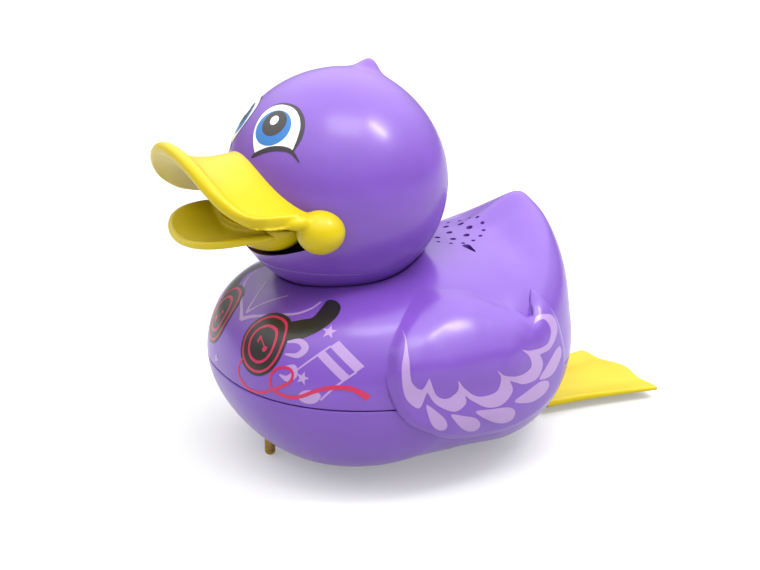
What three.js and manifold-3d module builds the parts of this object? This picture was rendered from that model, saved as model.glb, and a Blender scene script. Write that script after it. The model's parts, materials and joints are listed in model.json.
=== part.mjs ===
// A floating singing duck toy: two-part body shell, turning two-part head, flapping lower bill,
// hinged rear flipper, two wings, and the speaker, electronics, cells and ballast inside.
// Millimetres. +Z is up, the duck faces -Y, and its left side is +X.
import * as THREE from "three";
import Module from "manifold-3d";
import { mergeVertices } from "three/addons/utils/BufferGeometryUtils.js";

const wasm = await Module();
wasm.setup();

// ---- driving dimensions ------------------------------------------------------------------
const GAP = 0.3;
const WALL = 2;
const GROUND = 1.8; // the hull's flat bottom stands this far above the feet
const SEAM = { z: 27, gap: 0.35 };

// side outline of the body: distance from the seam's centre every 15 degrees, from the rear over the top
const BODY = {
  halfWidth: 45.1,
  outline: [
    52.6, 52.8, 52, 43.8, 35.6, 32.2, 31.5, 32, 34.5, 40, 46, 50,
    51.2, 48.5, 43.6, 36.5, 29.8, 26.6, 25.8, 26.6, 30, 36.8, 44, 49.8,
  ],
  power: 2.34,
};
// the tail's [length, width] in degrees on its front and rear sides, and how they blend
const TAIL = {
  angle: 42, rise: 14.4, front: [6.5, 12], rear: [15, 23], blend: 5, power: 0.85,
  tipAngle: 46, tipRise: 3.4, tipSpread: 3.8,
};
// the hollow of the breast under the head: its spread in degrees, and where it fades out behind
const NECK_DIP = { depth: 3.2, from: 33, over: 26, behind: 0.1, before: -0.25 };
const HEAD = { y: -16.8, z: 76.3, r: 29.9, tuft: [0, 9.6, 31.8] };
const PARTING = { y: -14, z: 78, run: 20, drop: 21.4, gap: 0.3 }; // where the head's two shells meet
const NECK = { clearance: 0.6, spigot: 9, bore: 5, hole: 10.6, end: 43.2 };
const JAW = { y: -33.3, z: 69.5, pin: 1, bore: 1.3, halfLength: 20.5, room: 0.6 };
const UPPER_BILL = {
  halfWidth: 26.4, back: -41, reach: 23.3, edgeZ: 73.4, rise: 15.1,
  rootHalf: 23.5, rootZ: 74, rootRise: 12.4, thick: 2.4, sag: 1.8,
};
const LOWER_BILL = { halfWidth: 22.4, back: -38.9, reach: 22.9, backZ: 70, drop: 3.4, thick: 2, dish: 3 };
const BELLY = { y: -38.2, z: 70, half: [18.8, 10.2, 8.8], wall: 2 };
const MOUTH = { half: 20.8, cornerZ: 64.4, lipZ: 59.6, topZ: 69, crownZ: 74 };
const CHEEK = { x: 24.3, r: 6 };
const MAGNET = { r: 3.5, y: -25.8, thick: 2, z: 66 };
const COIL = { y: -21.6, length: 6.6, core: 2.4, r: 5 };
const WING = { thick: 3.4, screwY: 2, screwZ: 38 };
const FLIPPER = {
  y: 46, z: 5, pin: 1, bore: 1.3, plate: 2.6, front: 48.9, corner: 88, tip: 92, half: 19, rootHalf: 14.5,
};
const LUG = { x: 7.5, half: 1.2, front: 43, back: 48.3, bottom: 2.4, top: 14 };
const GRILLE = { y: 19.4, z: 57.6, tilt: 4, outer: 10, outerHoles: 18, inner: 6, innerHoles: 8 };
const SPEAKER = { r: 11.5, cone: 10.2, top: -4.4, depth: 5 };
const MICROPHONE = { u: 15.9, v: -2, r: 2.4 };
const DOOR = { y: 7, half: [8.3, 21], thick: 1.6, screwY: 26.6, screwWell: 2 };
const DOOR_SEAL = { half: [8.1, 20.8], opening: [6.9, 18.4], low: 3.6, high: 4.4 };
const CELL = { r: 5.75, height: 5.4, pitch: 11.9, z: 4.9, half: [6.6, 18.3], roof: 11 };
const BOARD = { z: 15.5, thick: 1.2, low: [-18, -15], high: [18, 28], posts: [[8, -12], [-8, 25]] };
const SWITCH = {
  x: 14.2, y: 0.5, travel: 3, knob: [1.3, 1.5], slot: 1.6, bodyHalf: [3, 5.5], bodyZ: [5.3, 9.6],
};
const BALLAST = { y: -25.5, r: 9, z: 6.5, height: 6.5 };
const FEET = { r: 1.5, front: [0, -37.4], rear: [13.5, 43], length: 13 };
const POSTS = { r: 4.2, places: [[26, -22], [-26, -22], [26, 24], [-26, 24]], counterbore: 11, top: 37 };
const SCREW_BORE = 1.1;

const FINISH = {
  purple: { color: 0x8f5fd6, roughness: 0.22, metalness: 0 },
  yellow: { color: 0xf2d21a, roughness: 0.3, metalness: 0 },
  brass: { color: 0xb5934a, roughness: 0.35, metalness: 1 },
  steel: { color: 0xb8bcc2, roughness: 0.3, metalness: 1 },
  dark: { color: 0x2a2a2c, roughness: 0.6, metalness: 0 },
  rubber: { color: 0x3a3a3c, roughness: 0.85, metalness: 0 },
  board: { color: 0x1f6a3a, roughness: 0.45, metalness: 0 },
  copper: { color: 0xb46a3c, roughness: 0.35, metalness: 1 },
  paper: { color: 0x4a4a48, roughness: 0.9, metalness: 0 },
  white: { color: 0xe6e4de, roughness: 0.5, metalness: 0 },
};

// ---- helpers -------------------------------------------------------------------------------
const AXIS_X = [0, 0, Math.PI / 2];
const UPRIGHT = [Math.PI / 2, 0, 0];

function bump(distance, width) {
  return Math.exp(-((distance / width) ** 2));
}

function unit(v) {
  const length = Math.hypot(...v);
  return v.map((c) => c / length);
}

function degreesBetween(a, b) {
  const dot = a[0] * b[0] + a[1] * b[1] + a[2] * b[2];
  return THREE.MathUtils.radToDeg(Math.acos(THREE.MathUtils.clamp(dot, -1, 1)));
}

// a geometry as a manifold solid, turned and then moved into place
function solid(geometry, position = [0, 0, 0], rotation = [0, 0, 0]) {
  const turn = new THREE.Quaternion().setFromEuler(new THREE.Euler(...rotation));
  const one = new THREE.Vector3(1, 1, 1);
  const copy = geometry.clone().applyMatrix4(
    new THREE.Matrix4().compose(new THREE.Vector3(...position), turn, one));
  for (const name of Object.keys(copy.attributes)) {
    if (name !== "position") copy.deleteAttribute(name);
  }
  const merged = mergeVertices(copy, 1e-4);
  return new wasm.Manifold(new wasm.Mesh({
    numProp: 3,
    vertProperties: new Float32Array(merged.attributes.position.array),
    triVerts: new Uint32Array(merged.index.array),
  }));
}

function geometryOf(shape) {
  const mesh = shape.getMesh();
  const geometry = new THREE.BufferGeometry();
  geometry.setAttribute("position", new THREE.Float32BufferAttribute(mesh.vertProperties, 3));
  geometry.setIndex(Array.from(mesh.triVerts));
  return geometry;
}

// a box from its low corner to its high corner
function block(low, high) {
  const size = high.map((h, i) => h - low[i]);
  const middle = high.map((h, i) => (h + low[i]) / 2);
  return solid(new THREE.BoxGeometry(...size), middle);
}

// an upright cylinder between two heights
function rod(r, x, y, z0, z1, sides = 10) {
  return solid(new THREE.CylinderGeometry(r, r, z1 - z0, sides), [x, y, (z0 + z1) / 2], UPRIGHT);
}

// a cylinder along X, from the lower x to the higher one
function crossRod(r, x0, x1, y, z, sides = 12) {
  return solid(new THREE.CylinderGeometry(r, r, x1 - x0, sides), [(x0 + x1) / 2, y, z], AXIS_X);
}

// a turned shape about Z from a closed profile of [radius, height] points
function turned(profile, sides = 14) {
  return new THREE.LatheGeometry(profile.map(([r, z]) => new THREE.Vector2(r, z)), sides);
}

function ringProfile(inner, outer, z0, z1) {
  return [[inner, z0], [outer, z0], [outer, z1], [inner, z1], [inner, z0]];
}

function ring(inner, outer, x, y, z0, z1, sides = 20) {
  return solid(turned(ringProfile(inner, outer, z0, z1), sides), [x, y, 0], UPRIGHT);
}

// a pan-head screw standing on its head, tip up
function screwProfile(head, headHeight, shank, length) {
  return [[0, 0], [head, 0], [head, headHeight], [shank, headHeight], [shank, length - shank], [0, length]];
}

// a closed body whose surface is at radiusOf(direction) + grow from a centre, finest around its pole
function star(radiusOf, centre, pole, around, rings, grow = 0) {
  const axis = new THREE.Vector3(...pole).normalize();
  const side = new THREE.Vector3(1, 0, 0);
  const third = new THREE.Vector3().crossVectors(axis, side);
  const points = [];
  const faces = [];
  const put = (fall, turn) => {
    const d = new THREE.Vector3().addScaledVector(axis, Math.cos(fall));
    d.addScaledVector(side, Math.sin(fall) * Math.cos(turn));
    d.addScaledVector(third, Math.sin(fall) * Math.sin(turn));
    const r = radiusOf([d.x, d.y, d.z]) + grow;
    points.push(centre[0] + d.x * r, centre[1] + d.y * r, centre[2] + d.z * r);
  };
  put(0, 0);
  for (let i = 1; i < rings; i += 1) {
    const step = i / rings;
    const fall = Math.PI * (0.6 * step + 0.4 * step * step);
    for (let j = 0; j < around; j += 1) put(fall, (2 * Math.PI * j) / around);
  }
  put(Math.PI, 0);
  const last = points.length / 3 - 1;
  const at = (i, j) => 1 + (i - 1) * around + (j % around);
  for (let j = 0; j < around; j += 1) {
    faces.push(0, at(1, j), at(1, j + 1));
    for (let i = 1; i < rings - 1; i += 1) {
      faces.push(at(i, j), at(i + 1, j), at(i + 1, j + 1));
      faces.push(at(i, j), at(i + 1, j + 1), at(i, j + 1));
    }
    faces.push(last, at(rings - 1, j + 1), at(rings - 1, j));
  }
  const geometry = new THREE.BufferGeometry();
  geometry.setAttribute("position", new THREE.Float32BufferAttribute(points, 3));
  geometry.setIndex(faces);
  return solid(geometry);
}

// six times the volume inside the faces, negative when they point inwards
function volume(points, faces) {
  const corner = (k) => new THREE.Vector3().fromArray(points, 3 * faces[k]);
  let total = 0;
  for (let k = 0; k < faces.length; k += 3) {
    total += corner(k).dot(corner(k + 1).cross(corner(k + 2)));
  }
  return total;
}

// a closed sheet between two grids of points of the same size, top[i][j] over bottom[i][j]
function sheet(top, bottom) {
  const rows = top.length;
  const columns = top[0].length;
  const points = [...top.flat(), ...bottom.flat()].flat();
  const up = (i, j) => i * columns + j;
  const down = (i, j) => rows * columns + up(i, j);
  const faces = [];
  const quad = (a, b, c, d) => faces.push(a, b, c, a, c, d);
  for (let i = 0; i < rows - 1; i += 1) {
    for (let j = 0; j < columns - 1; j += 1) {
      quad(up(i, j), up(i, j + 1), up(i + 1, j + 1), up(i + 1, j));
      quad(down(i, j), down(i + 1, j), down(i + 1, j + 1), down(i, j + 1));
    }
    quad(up(i, 0), up(i + 1, 0), down(i + 1, 0), down(i, 0));
    quad(up(i, columns - 1), down(i, columns - 1), down(i + 1, columns - 1), up(i + 1, columns - 1));
  }
  for (let j = 0; j < columns - 1; j += 1) {
    quad(up(0, j), down(0, j), down(0, j + 1), up(0, j + 1));
    quad(up(rows - 1, j), up(rows - 1, j + 1), down(rows - 1, j + 1), down(rows - 1, j));
  }
  const geometry = new THREE.BufferGeometry();
  geometry.setAttribute("position", new THREE.Float32BufferAttribute(points, 3));
  geometry.setIndex(volume(points, faces) > 0 ? faces : faces.reverse());
  return solid(geometry);
}

// an outline of [y, z] points as a prism along X
function sidePrism(outline, x0, x1) {
  const shape = new THREE.Shape(outline.map(([y, z]) => new THREE.Vector2(y, z)));
  const geometry = new THREE.ExtrudeGeometry(shape, { depth: x1 - x0, bevelEnabled: false });
  return solid(geometry, [x0, 0, 0], [Math.PI / 2, Math.PI / 2, 0]);
}

const duck = new THREE.Group();
duck.position.z = -GROUND;

function piece(name, shape, finish, parent = duck) {
  const geometry = shape.getMesh ? geometryOf(shape) : shape;
  const mesh = new THREE.Mesh(geometry, new THREE.MeshStandardMaterial(FINISH[finish]));
  mesh.name = name;
  parent.add(mesh);
}

// ---- body form -------------------------------------------------------------------------------
function outlineRadius(degrees) {
  const values = BODY.outline;
  const place = (((degrees / 360) % 1) + 1) % 1 * values.length;
  const i = Math.floor(place);
  const f = place - i;
  const [p0, p1, p2, p3] = [-1, 0, 1, 2].map((k) => values[(i + k + values.length) % values.length]);
  return p1 + 0.5 * f * (p2 - p0 + f * (2 * p0 - 5 * p1 + 4 * p2 - p3 + f * (3 * (p1 - p2) + p3 - p0)));
}

function backwards(degrees) {
  const angle = THREE.MathUtils.degToRad(degrees);
  return [0, Math.cos(angle), Math.sin(angle)];
}

function bodyRadius(d) {
  const side = Math.hypot(d[1], d[2]);
  const outline = outlineRadius(THREE.MathUtils.radToDeg(Math.atan2(d[2], d[1])));
  const p = BODY.power;
  const hull = (Math.abs(d[0] / BODY.halfWidth) ** p + (side / outline) ** p) ** (-1 / p);
  return hull + tailRise(d) - neckDip(d);
}

function tailRise(d) {
  const { lerp, radToDeg, smoothstep } = THREE.MathUtils;
  const along = radToDeg(Math.atan2(d[2], d[1])) - TAIL.angle;
  const across = radToDeg(Math.asin(Math.min(1, Math.abs(d[0]))));
  const inFront = smoothstep(along, -TAIL.blend, TAIL.blend);
  const [length, width] = [0, 1].map((k) => lerp(TAIL.rear[k], TAIL.front[k], inFront));
  const rise = TAIL.rise * Math.exp(-(((along / length) ** 2 + (across / width) ** 2) ** TAIL.power));
  return rise + TAIL.tipRise * bump(degreesBetween(d, backwards(TAIL.tipAngle)), TAIL.tipSpread);
}

function neckDip(d) {
  const fall = degreesBetween(d, unit([0, HEAD.y, HEAD.z - SEAM.z]));
  const near = 1 - THREE.MathUtils.smoothstep(fall, NECK_DIP.from, NECK_DIP.from + NECK_DIP.over);
  return NECK_DIP.depth * near * (1 - THREE.MathUtils.smoothstep(d[1], NECK_DIP.before, NECK_DIP.behind));
}

const bodyForm = (grow, around = 28, rings = 18) =>
  star(bodyRadius, [0, 0, SEAM.z], backwards(TAIL.tipAngle), around, rings, grow);

// ---- head form -------------------------------------------------------------------------------
const TUFT = unit(HEAD.tuft);
function headRadius(d) {
  const t = degreesBetween(d, TUFT);
  return HEAD.r + 0.8 * bump(t, 24) + 3 * bump(t, 5.5);
}
const headForm = (grow, around = 26, rings = 14) =>
  star(headRadius, [0, HEAD.y, HEAD.z], TUFT, around, rings, grow);
const ball = (r, x, y, z, around = 14, rings = 9) =>
  solid(new THREE.SphereGeometry(r, around, rings), [x, y, z]);

const FAR = 200;
const above = (z) => block([-FAR, -FAR, z], [FAR, FAR, FAR]);
const below = (z) => block([-FAR, -FAR, -FAR], [FAR, FAR, z]);
const headBall = (r, around = 20, rings = 12) => ball(r, 0, HEAD.y, HEAD.z, around, rings);
const both = (make) => make(1).add(make(-1));

const bodyOuter = bodyForm(0);
const bodyInner = bodyForm(-WALL, 24, 14);
const underSkin = bodyForm(-WALL / 2, 24, 14);
const headOuter = headForm(0);
const headInner = headForm(-WALL, 20, 12);
const headUnderSkin = headForm(-WALL / 2, 20, 12);

// ---- body upper shell: neck bowl, grille, speaker collar and screw posts -------------------------
const tilt = THREE.MathUtils.degToRad(GRILLE.tilt);

// a point beside, behind and above the grille's centre, in the grille's tilted plane
function grillePoint(u, v, w) {
  return [
    u,
    GRILLE.y + v * Math.cos(tilt) - w * Math.sin(tilt),
    GRILLE.z + v * Math.sin(tilt) + w * Math.cos(tilt),
  ];
}
const GRILLE_TURN = [Math.PI / 2 + tilt, 0, 0];
const grilleSolid = (geometry, u = 0, v = 0, w = 0) => solid(geometry, grillePoint(u, v, w), GRILLE_TURN);

function grilleHoles() {
  let holes = grilleSolid(new THREE.CylinderGeometry(0.95, 0.95, 12, 6));
  const addRing = (count, radius, holeRadius, sides) => {
    for (let k = 0; k < count; k += 1) {
      const angle = (2 * Math.PI * (k + 0.5)) / count;
      const hole = new THREE.CylinderGeometry(holeRadius, holeRadius, 12, sides);
      holes = holes.add(grilleSolid(hole, radius * Math.cos(angle), radius * Math.sin(angle)));
    }
  };
  addRing(GRILLE.innerHoles, GRILLE.inner, 0.95, 6);
  addRing(GRILLE.outerHoles, GRILLE.outer, 0.6, 5);
  const slot = new THREE.Shape();
  slot.moveTo(10.6, -3.2);
  slot.quadraticCurveTo(9.4, -2, 10.6, -0.8);
  slot.lineTo(16.4, -1.6);
  slot.lineTo(16.4, -2.4);
  const cutter = new THREE.ExtrudeGeometry(slot, { depth: 14, bevelEnabled: false, curveSegments: 3 });
  return holes.add(solid(cutter, grillePoint(0, 0, -8), [tilt, 0, 0]));
}

function upperShell() {
  const cavity = bodyInner.subtract(headBall(HEAD.r + NECK.clearance + WALL));
  let shell = bodyOuter.intersect(above(SEAM.z)).subtract(headBall(HEAD.r + NECK.clearance)).subtract(cavity);
  const collar = grilleSolid(turned(ringProfile(12, 13.2, -9.4, 4)));
  shell = shell.add(collar.intersect(underSkin).subtract(headBall(HEAD.r + NECK.clearance + WALL / 2)));
  for (const [x, y] of POSTS.places) {
    shell = shell.add(rod(POSTS.r, x, y, SEAM.z + 0.2, FAR).intersect(underSkin));
    shell = shell.subtract(rod(1.4, x, y, 0, POSTS.top, 12));
  }
  const screwHoles = crossRod(SCREW_BORE, -60, 60, WING.screwY, WING.screwZ, 8);
  return shell.subtract(rod(NECK.hole, 0, HEAD.y, 40, 60, 28)).subtract(grilleHoles()).subtract(screwHoles);
}
piece("body_upper_shell", upperShell(), "purple");

// ---- hull: battery compartment, posts, flipper lugs and feet --------------------------------------
const footPlaces = [FEET.front, FEET.rear, [-FEET.rear[0], FEET.rear[1]]];

function hullShell() {
  const [doorX, doorY] = DOOR.half;
  const doorLow = DOOR.y - doorY;
  const doorHigh = DOOR.y + doorY;
  let shell = bodyOuter.intersect(below(SEAM.z - SEAM.gap)).subtract(below(GROUND));
  shell = shell.subtract(bodyInner.subtract(below(GROUND + WALL)));
  let inside = block([-doorX - WALL, doorLow - WALL, GROUND], [doorX + WALL, doorHigh + WALL, CELL.roof + 1]);
  for (const [x, y] of POSTS.places) inside = inside.add(rod(POSTS.r, x, y, GROUND, SEAM.z - SEAM.gap - 0.2));
  for (const [x, y] of BOARD.posts) inside = inside.add(rod(2.2, x, y, CELL.roof, BOARD.z - GAP, 12));
  shell = shell.add(inside.intersect(bodyOuter));
  const lug = (side) => {
    const x = side * LUG.x;
    return block([x - LUG.half, LUG.front, LUG.bottom], [x + LUG.half, LUG.back, LUG.top]);
  };
  shell = shell.add(both(lug).subtract(bodyInner));
  shell = shell.add(both((side) => rod(2.8, side * FEET.rear[0], FEET.rear[1], 2.6, 14)).subtract(bodyInner));
  shell = shell.subtract(crossRod(FLIPPER.bore, -12, 12, FLIPPER.y, FLIPPER.z, 12));
  for (const [x, y] of POSTS.places) {
    shell = shell.subtract(rod(2.7, x, y, 0, POSTS.counterbore)).subtract(rod(1.4, x, y, 0, 30, 12));
  }
  for (const [x, y] of BOARD.posts) shell = shell.subtract(rod(SCREW_BORE, x, y, CELL.roof + 1.3, 20, 8));
  for (const [x, y] of footPlaces) shell = shell.subtract(rod(FEET.r + GAP, x, y, 0, 20, 12));
  shell = shell.subtract(block([-doorX - GAP, doorLow - GAP, 0], [doorX + GAP, doorHigh + GAP, 4.6]));
  const [cellX, cellY] = CELL.half;
  const cells = block([-cellX, DOOR.y - cellY, 0], [cellX, DOOR.y + cellY, CELL.roof]);
  const doorScrew = rod(SCREW_BORE, 0, DOOR.screwY, 0, 10, 8);
  const slotBack = SWITCH.y + SWITCH.travel + 2;
  const switchSlot = block([SWITCH.x - SWITCH.slot, SWITCH.y - 2, 0], [SWITCH.x + SWITCH.slot, slotBack, 5]);
  return shell.subtract(cells).subtract(doorScrew).subtract(switchSlot);
}
piece("hull_shell", hullShell(), "purple");

const sealBand = bodyForm(-WALL - GAP, 24, 14).subtract(bodyForm(-WALL - GAP - 1.3, 24, 14));
piece("hull_seal", sealBand.intersect(above(25.2)).intersect(below(28.8)), "rubber");

function screw(name, position, rotation, size, parent = duck) {
  const profile = screwProfile(size.head, size.headHeight, size.shank, size.length);
  piece(name, solid(turned(profile, 8), position, rotation), "steel", parent);
}
POSTS.places.forEach(([x, y], k) => {
  screw(`hull_screw_${k + 1}`, [x, y, 9.5], UPRIGHT, { head: 2.2, headHeight: 1.2, shank: 1.1, length: 26 });
});

const footNames = ["front_foot", "rear_foot_left", "rear_foot_right"];
footPlaces.forEach(([x, y], k) => piece(footNames[k], rod(FEET.r, x, y, 0, FEET.length, 12), "brass"));

// ---- battery compartment ----------------------------------------------------------------------
function doorPlate() {
  const low = [-DOOR.half[0], DOOR.y - DOOR.half[1], GROUND];
  const high = [DOOR.half[0], DOOR.y + DOOR.half[1], GROUND + DOOR.thick];
  const plate = block(low, high).intersect(bodyOuter);
  const screwHole = rod(SCREW_BORE, 0, DOOR.screwY, 0, 5, 8);
  return plate.subtract(screwHole).subtract(rod(DOOR.screwWell, 0, DOOR.screwY, 0, 2.9, 12));
}
piece("battery_door", doorPlate(), "purple");

function doorSeal() {
  const slab = ([x, y], low, high) => block([-x, DOOR.y - y, low], [x, DOOR.y + y, high]);
  const outer = slab(DOOR_SEAL.half, DOOR_SEAL.low, DOOR_SEAL.high);
  const inner = slab(DOOR_SEAL.opening, DOOR_SEAL.low - 1, DOOR_SEAL.high + 1);
  return outer.subtract(inner).subtract(rod(SCREW_BORE, 0, DOOR.screwY, 0, 5, 8));
}
piece("battery_door_seal", doorSeal(), "rubber");
const doorScrewSize = { head: 1.7, headHeight: 0.8, shank: 0.8, length: 7.6 };
screw("battery_door_screw", [0, DOOR.screwY, 1.9], UPRIGHT, doorScrewSize);

for (let k = 0; k < 3; k += 1) {
  const y = DOOR.y + (k - 1) * CELL.pitch;
  const top = CELL.z + CELL.height;
  const step = CELL.z + 0.5;
  const profile = [[0, CELL.z], [4.6, CELL.z], [4.9, step], [CELL.r, step], [CELL.r, top], [0, top]];
  piece(`button_cell_${k + 1}`, solid(turned(profile, 18), [0, y, 0], UPRIGHT), "steel");
}
piece("battery_contact", block([-4, DOOR.y - 16, 10.45], [4, DOOR.y + 16, 10.75]), "brass");

// ---- sound board --------------------------------------------------------------------------------
function boardPlate() {
  let plate = block([...BOARD.low, BOARD.z], [...BOARD.high, BOARD.z + BOARD.thick]);
  for (const [x, y] of BOARD.posts) plate = plate.subtract(rod(SCREW_BORE, x, y, 10, 20, 8));
  return plate;
}
const boardTop = BOARD.z + BOARD.thick + GAP;
piece("circuit_board", boardPlate(), "board");
piece("sound_chip", block([-5, 2, boardTop], [5, 12, boardTop + 1.6]), "dark");
piece("capacitor", rod(3, 11, 17, boardTop, boardTop + 7), "dark");
piece("lead_connector", block([-14, 8, boardTop], [-8, 14, boardTop + 4]), "white");
BOARD.posts.forEach(([x, y], k) => {
  const size = { head: 1.8, headHeight: 0.9, shank: 0.8, length: 5 };
  screw(`board_screw_${k + 1}`, [x, y, boardTop + 0.9], [-Math.PI / 2, 0, 0], size);
});
piece("ballast_weight", rod(BALLAST.r, 0, BALLAST.y, BALLAST.z, BALLAST.z + BALLAST.height, 24), "steel");

// ---- power switch -------------------------------------------------------------------------------
function switchBlock([halfX, halfY], y, [low, high]) {
  return block([SWITCH.x - halfX, y - halfY, low], [SWITCH.x + halfX, y + halfY, high]);
}
piece("switch_body", switchBlock(SWITCH.bodyHalf, SWITCH.y + SWITCH.travel / 2, SWITCH.bodyZ), "dark");
piece("switch_knob", switchBlock(SWITCH.knob, SWITCH.y, [2.4, SWITCH.bodyZ[0] - GAP]), "dark");

// ---- speaker and microphone ------------------------------------------------------------------------
function frameProfile() {
  const base = SPEAKER.top - SPEAKER.depth;
  return [
    [6, base], [9, base], [SPEAKER.r, SPEAKER.top - 2], [SPEAKER.r, SPEAKER.top], [10.6, SPEAKER.top],
    [10.6, SPEAKER.top - 1.8], [8.6, base + 1], [6, base + 1], [6, base],
  ];
}
function coneProfile() {
  const top = SPEAKER.top - 0.2;
  const under = [[0, top - 2.6], [4, top - 2.6], [9.8, top - 1], [SPEAKER.cone, top - 1]];
  return [...under, [SPEAKER.cone, top - 0.6], [9.6, top - 0.6], [4, top - 2.1], [0, top - 2.1]];
}
const gasketProfile = ringProfile(10.4, SPEAKER.r, SPEAKER.top + GAP, SPEAKER.top + 1.2);
piece("speaker_gasket", grilleSolid(turned(gasketProfile)), "rubber");
piece("speaker_frame", grilleSolid(turned(frameProfile())), "steel");
piece("speaker_cone", grilleSolid(turned(coneProfile())), "paper");
const magnetTop = SPEAKER.top - 3.3;
const speakerMagnet = new THREE.CylinderGeometry(5.6, 5.6, 4.4, 20);
piece("speaker_magnet", grilleSolid(speakerMagnet, 0, 0, magnetTop - 2.2), "steel");

const capsule = new THREE.CylinderGeometry(1.5, 1.5, 2.4, 12);
piece("microphone", grilleSolid(capsule, MICROPHONE.u, MICROPHONE.v, -8.4), "steel");
const boot = [[0, -11.2], [MICROPHONE.r, -11.2], [MICROPHONE.r, -7.4], [1.8, -7.4], [1.8, -10], [0, -10]];
piece("microphone_boot", grilleSolid(turned(boot, 12), MICROPHONE.u, MICROPHONE.v), "rubber");

function lead(points, radius) {
  const curve = new THREE.CatmullRomCurve3(points.map((p) => new THREE.Vector3(...p)));
  const section = new THREE.Shape();
  section.absarc(0, 0, radius, 0, 2 * Math.PI);
  return solid(new THREE.ExtrudeGeometry(section, { extrudePath: curve, steps: 12, curveSegments: 3 }));
}
const leadRoute = [[-7, 25.8, 48], [-9, 27.5, 42], [-13, 26, 34], [-15, 18, 27], [-11, 11, 22]];
piece("speaker_lead", lead(leadRoute, 0.8), "dark");

// ---- neck bearing ---------------------------------------------------------------------------------
const bushProfile = [
  [9.35, 43.5], [13.2, 43.5], [13.2, 44.6], [10.3, 44.6], [10.3, 47.2], [9.35, 47.2], [9.35, 43.5],
];
piece("neck_bush", solid(turned(bushProfile), [0, HEAD.y, 0], UPRIGHT), "white");

function retainingRing() {
  const plain = ring(NECK.bore + 0.2, 12.6, 0, HEAD.y, NECK.end - 2, NECK.end - GAP);
  return plain.subtract(both((side) => rod(SCREW_BORE, side * 7, HEAD.y, 30, 50, 8)));
}
piece("neck_retaining_ring", retainingRing(), "white");
for (const [name, side] of [["left", 1], ["right", -1]]) {
  const size = { head: 1.7, headHeight: 0.9, shank: 0.8, length: 8 };
  screw(`neck_ring_screw_${name}`, [side * 7, HEAD.y, NECK.end - 3.2], UPRIGHT, size);
}

// ---- head shells ----------------------------------------------------------------------------------
// the space under the parting line, which is level at the front and climbs over the back of the head
function underParting(lift) {
  const outline = [[-FAR, PARTING.z - PARTING.drop + lift]];
  const steps = 8;
  for (let k = 0; k <= steps; k += 1) {
    const angle = (Math.PI / 2) * (k / steps);
    outline.push([
      PARTING.y + (PARTING.run - lift) * Math.sin(angle),
      PARTING.z - (PARTING.drop - lift) * Math.cos(angle) + lift * Math.sin(angle),
    ]);
  }
  outline.push([FAR, PARTING.z + lift], [FAR, -FAR], [-FAR, -FAR]);
  return sidePrism(outline, -FAR, FAR);
}

const screwX = 15;
function napeShell() {
  const half = PARTING.gap / 2;
  let shell = headOuter.intersect(underParting(-half)).subtract(headInner);
  const spigot = rod(NECK.spigot, 0, HEAD.y, NECK.end, HEAD.z - 22, 28).subtract(headInner);
  shell = shell.add(spigot).subtract(rod(NECK.bore, 0, HEAD.y, 30, 60, 20));
  shell = shell.add(both((side) => rod(3.2, side * screwX, HEAD.y, 50, 56.2)).intersect(headUnderSkin));
  shell = shell.subtract(both((side) => rod(SCREW_BORE, side * screwX, HEAD.y, 40, 60, 8)));
  shell = shell.subtract(both((side) => rod(2.1, side * screwX, HEAD.y, 40, 53, 12)));
  return shell.subtract(both((side) => rod(SCREW_BORE, side * 7, HEAD.y, 30, 50, 8)));
}
piece("head_nape_shell", napeShell(), "purple");

function mouthOpening(shrink = 0) {
  const shape = new THREE.Shape();
  const half = MOUTH.half - shrink;
  const low = MOUTH.cornerZ + shrink;
  const high = MOUTH.topZ - shrink;
  shape.moveTo(-half, low);
  shape.quadraticCurveTo(0, 2 * (MOUTH.lipZ + shrink) - low, half, low);
  shape.lineTo(half, high);
  shape.quadraticCurveTo(0, 2 * (MOUTH.crownZ - shrink) - high, -half, high);
  const cutter = new THREE.ExtrudeGeometry(shape, { depth: 30, bevelEnabled: false, curveSegments: 8 });
  return solid(cutter, [0, -32, 0], [Math.PI / 2, 0, 0]);
}

function faceShell() {
  let shell = headOuter.subtract(underParting(PARTING.gap / 2)).subtract(headInner).subtract(mouthOpening());
  const axleBoss = (side) => crossRod(3, side > 0 ? 18.6 : -26, side > 0 ? 26 : -18.6, JAW.y, JAW.z);
  const screwBoss = (side) => {
    const rib = block([side > 0 ? screwX : -25, HEAD.y - 1, 57.1], [side > 0 ? 25 : -screwX, HEAD.y + 1, 62]);
    return rod(3, side * screwX, HEAD.y, 57.1, 64).add(rib);
  };
  shell = shell.add(both(axleBoss).add(both(screwBoss)).intersect(headUnderSkin));
  shell = shell.subtract(crossRod(JAW.bore, -JAW.halfLength - GAP, JAW.halfLength + GAP, JAW.y, JAW.z, 12));
  return shell.subtract(both((side) => rod(SCREW_BORE, side * screwX, HEAD.y, 50, 62.6, 8)));
}
piece("head_face_shell", faceShell(), "purple");
for (const [name, side] of [["left", 1], ["right", -1]]) {
  const size = { head: 1.8, headHeight: 0.9, shank: 0.8, length: 10 };
  screw(`head_screw_${name}`, [side * screwX, HEAD.y, 51.8], UPRIGHT, size);
}

// ---- bills ----------------------------------------------------------------------------------------
function onHead(x, z) {
  return HEAD.y - Math.sqrt(HEAD.r * HEAD.r - x * x - (z - HEAD.z) ** 2);
}

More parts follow.
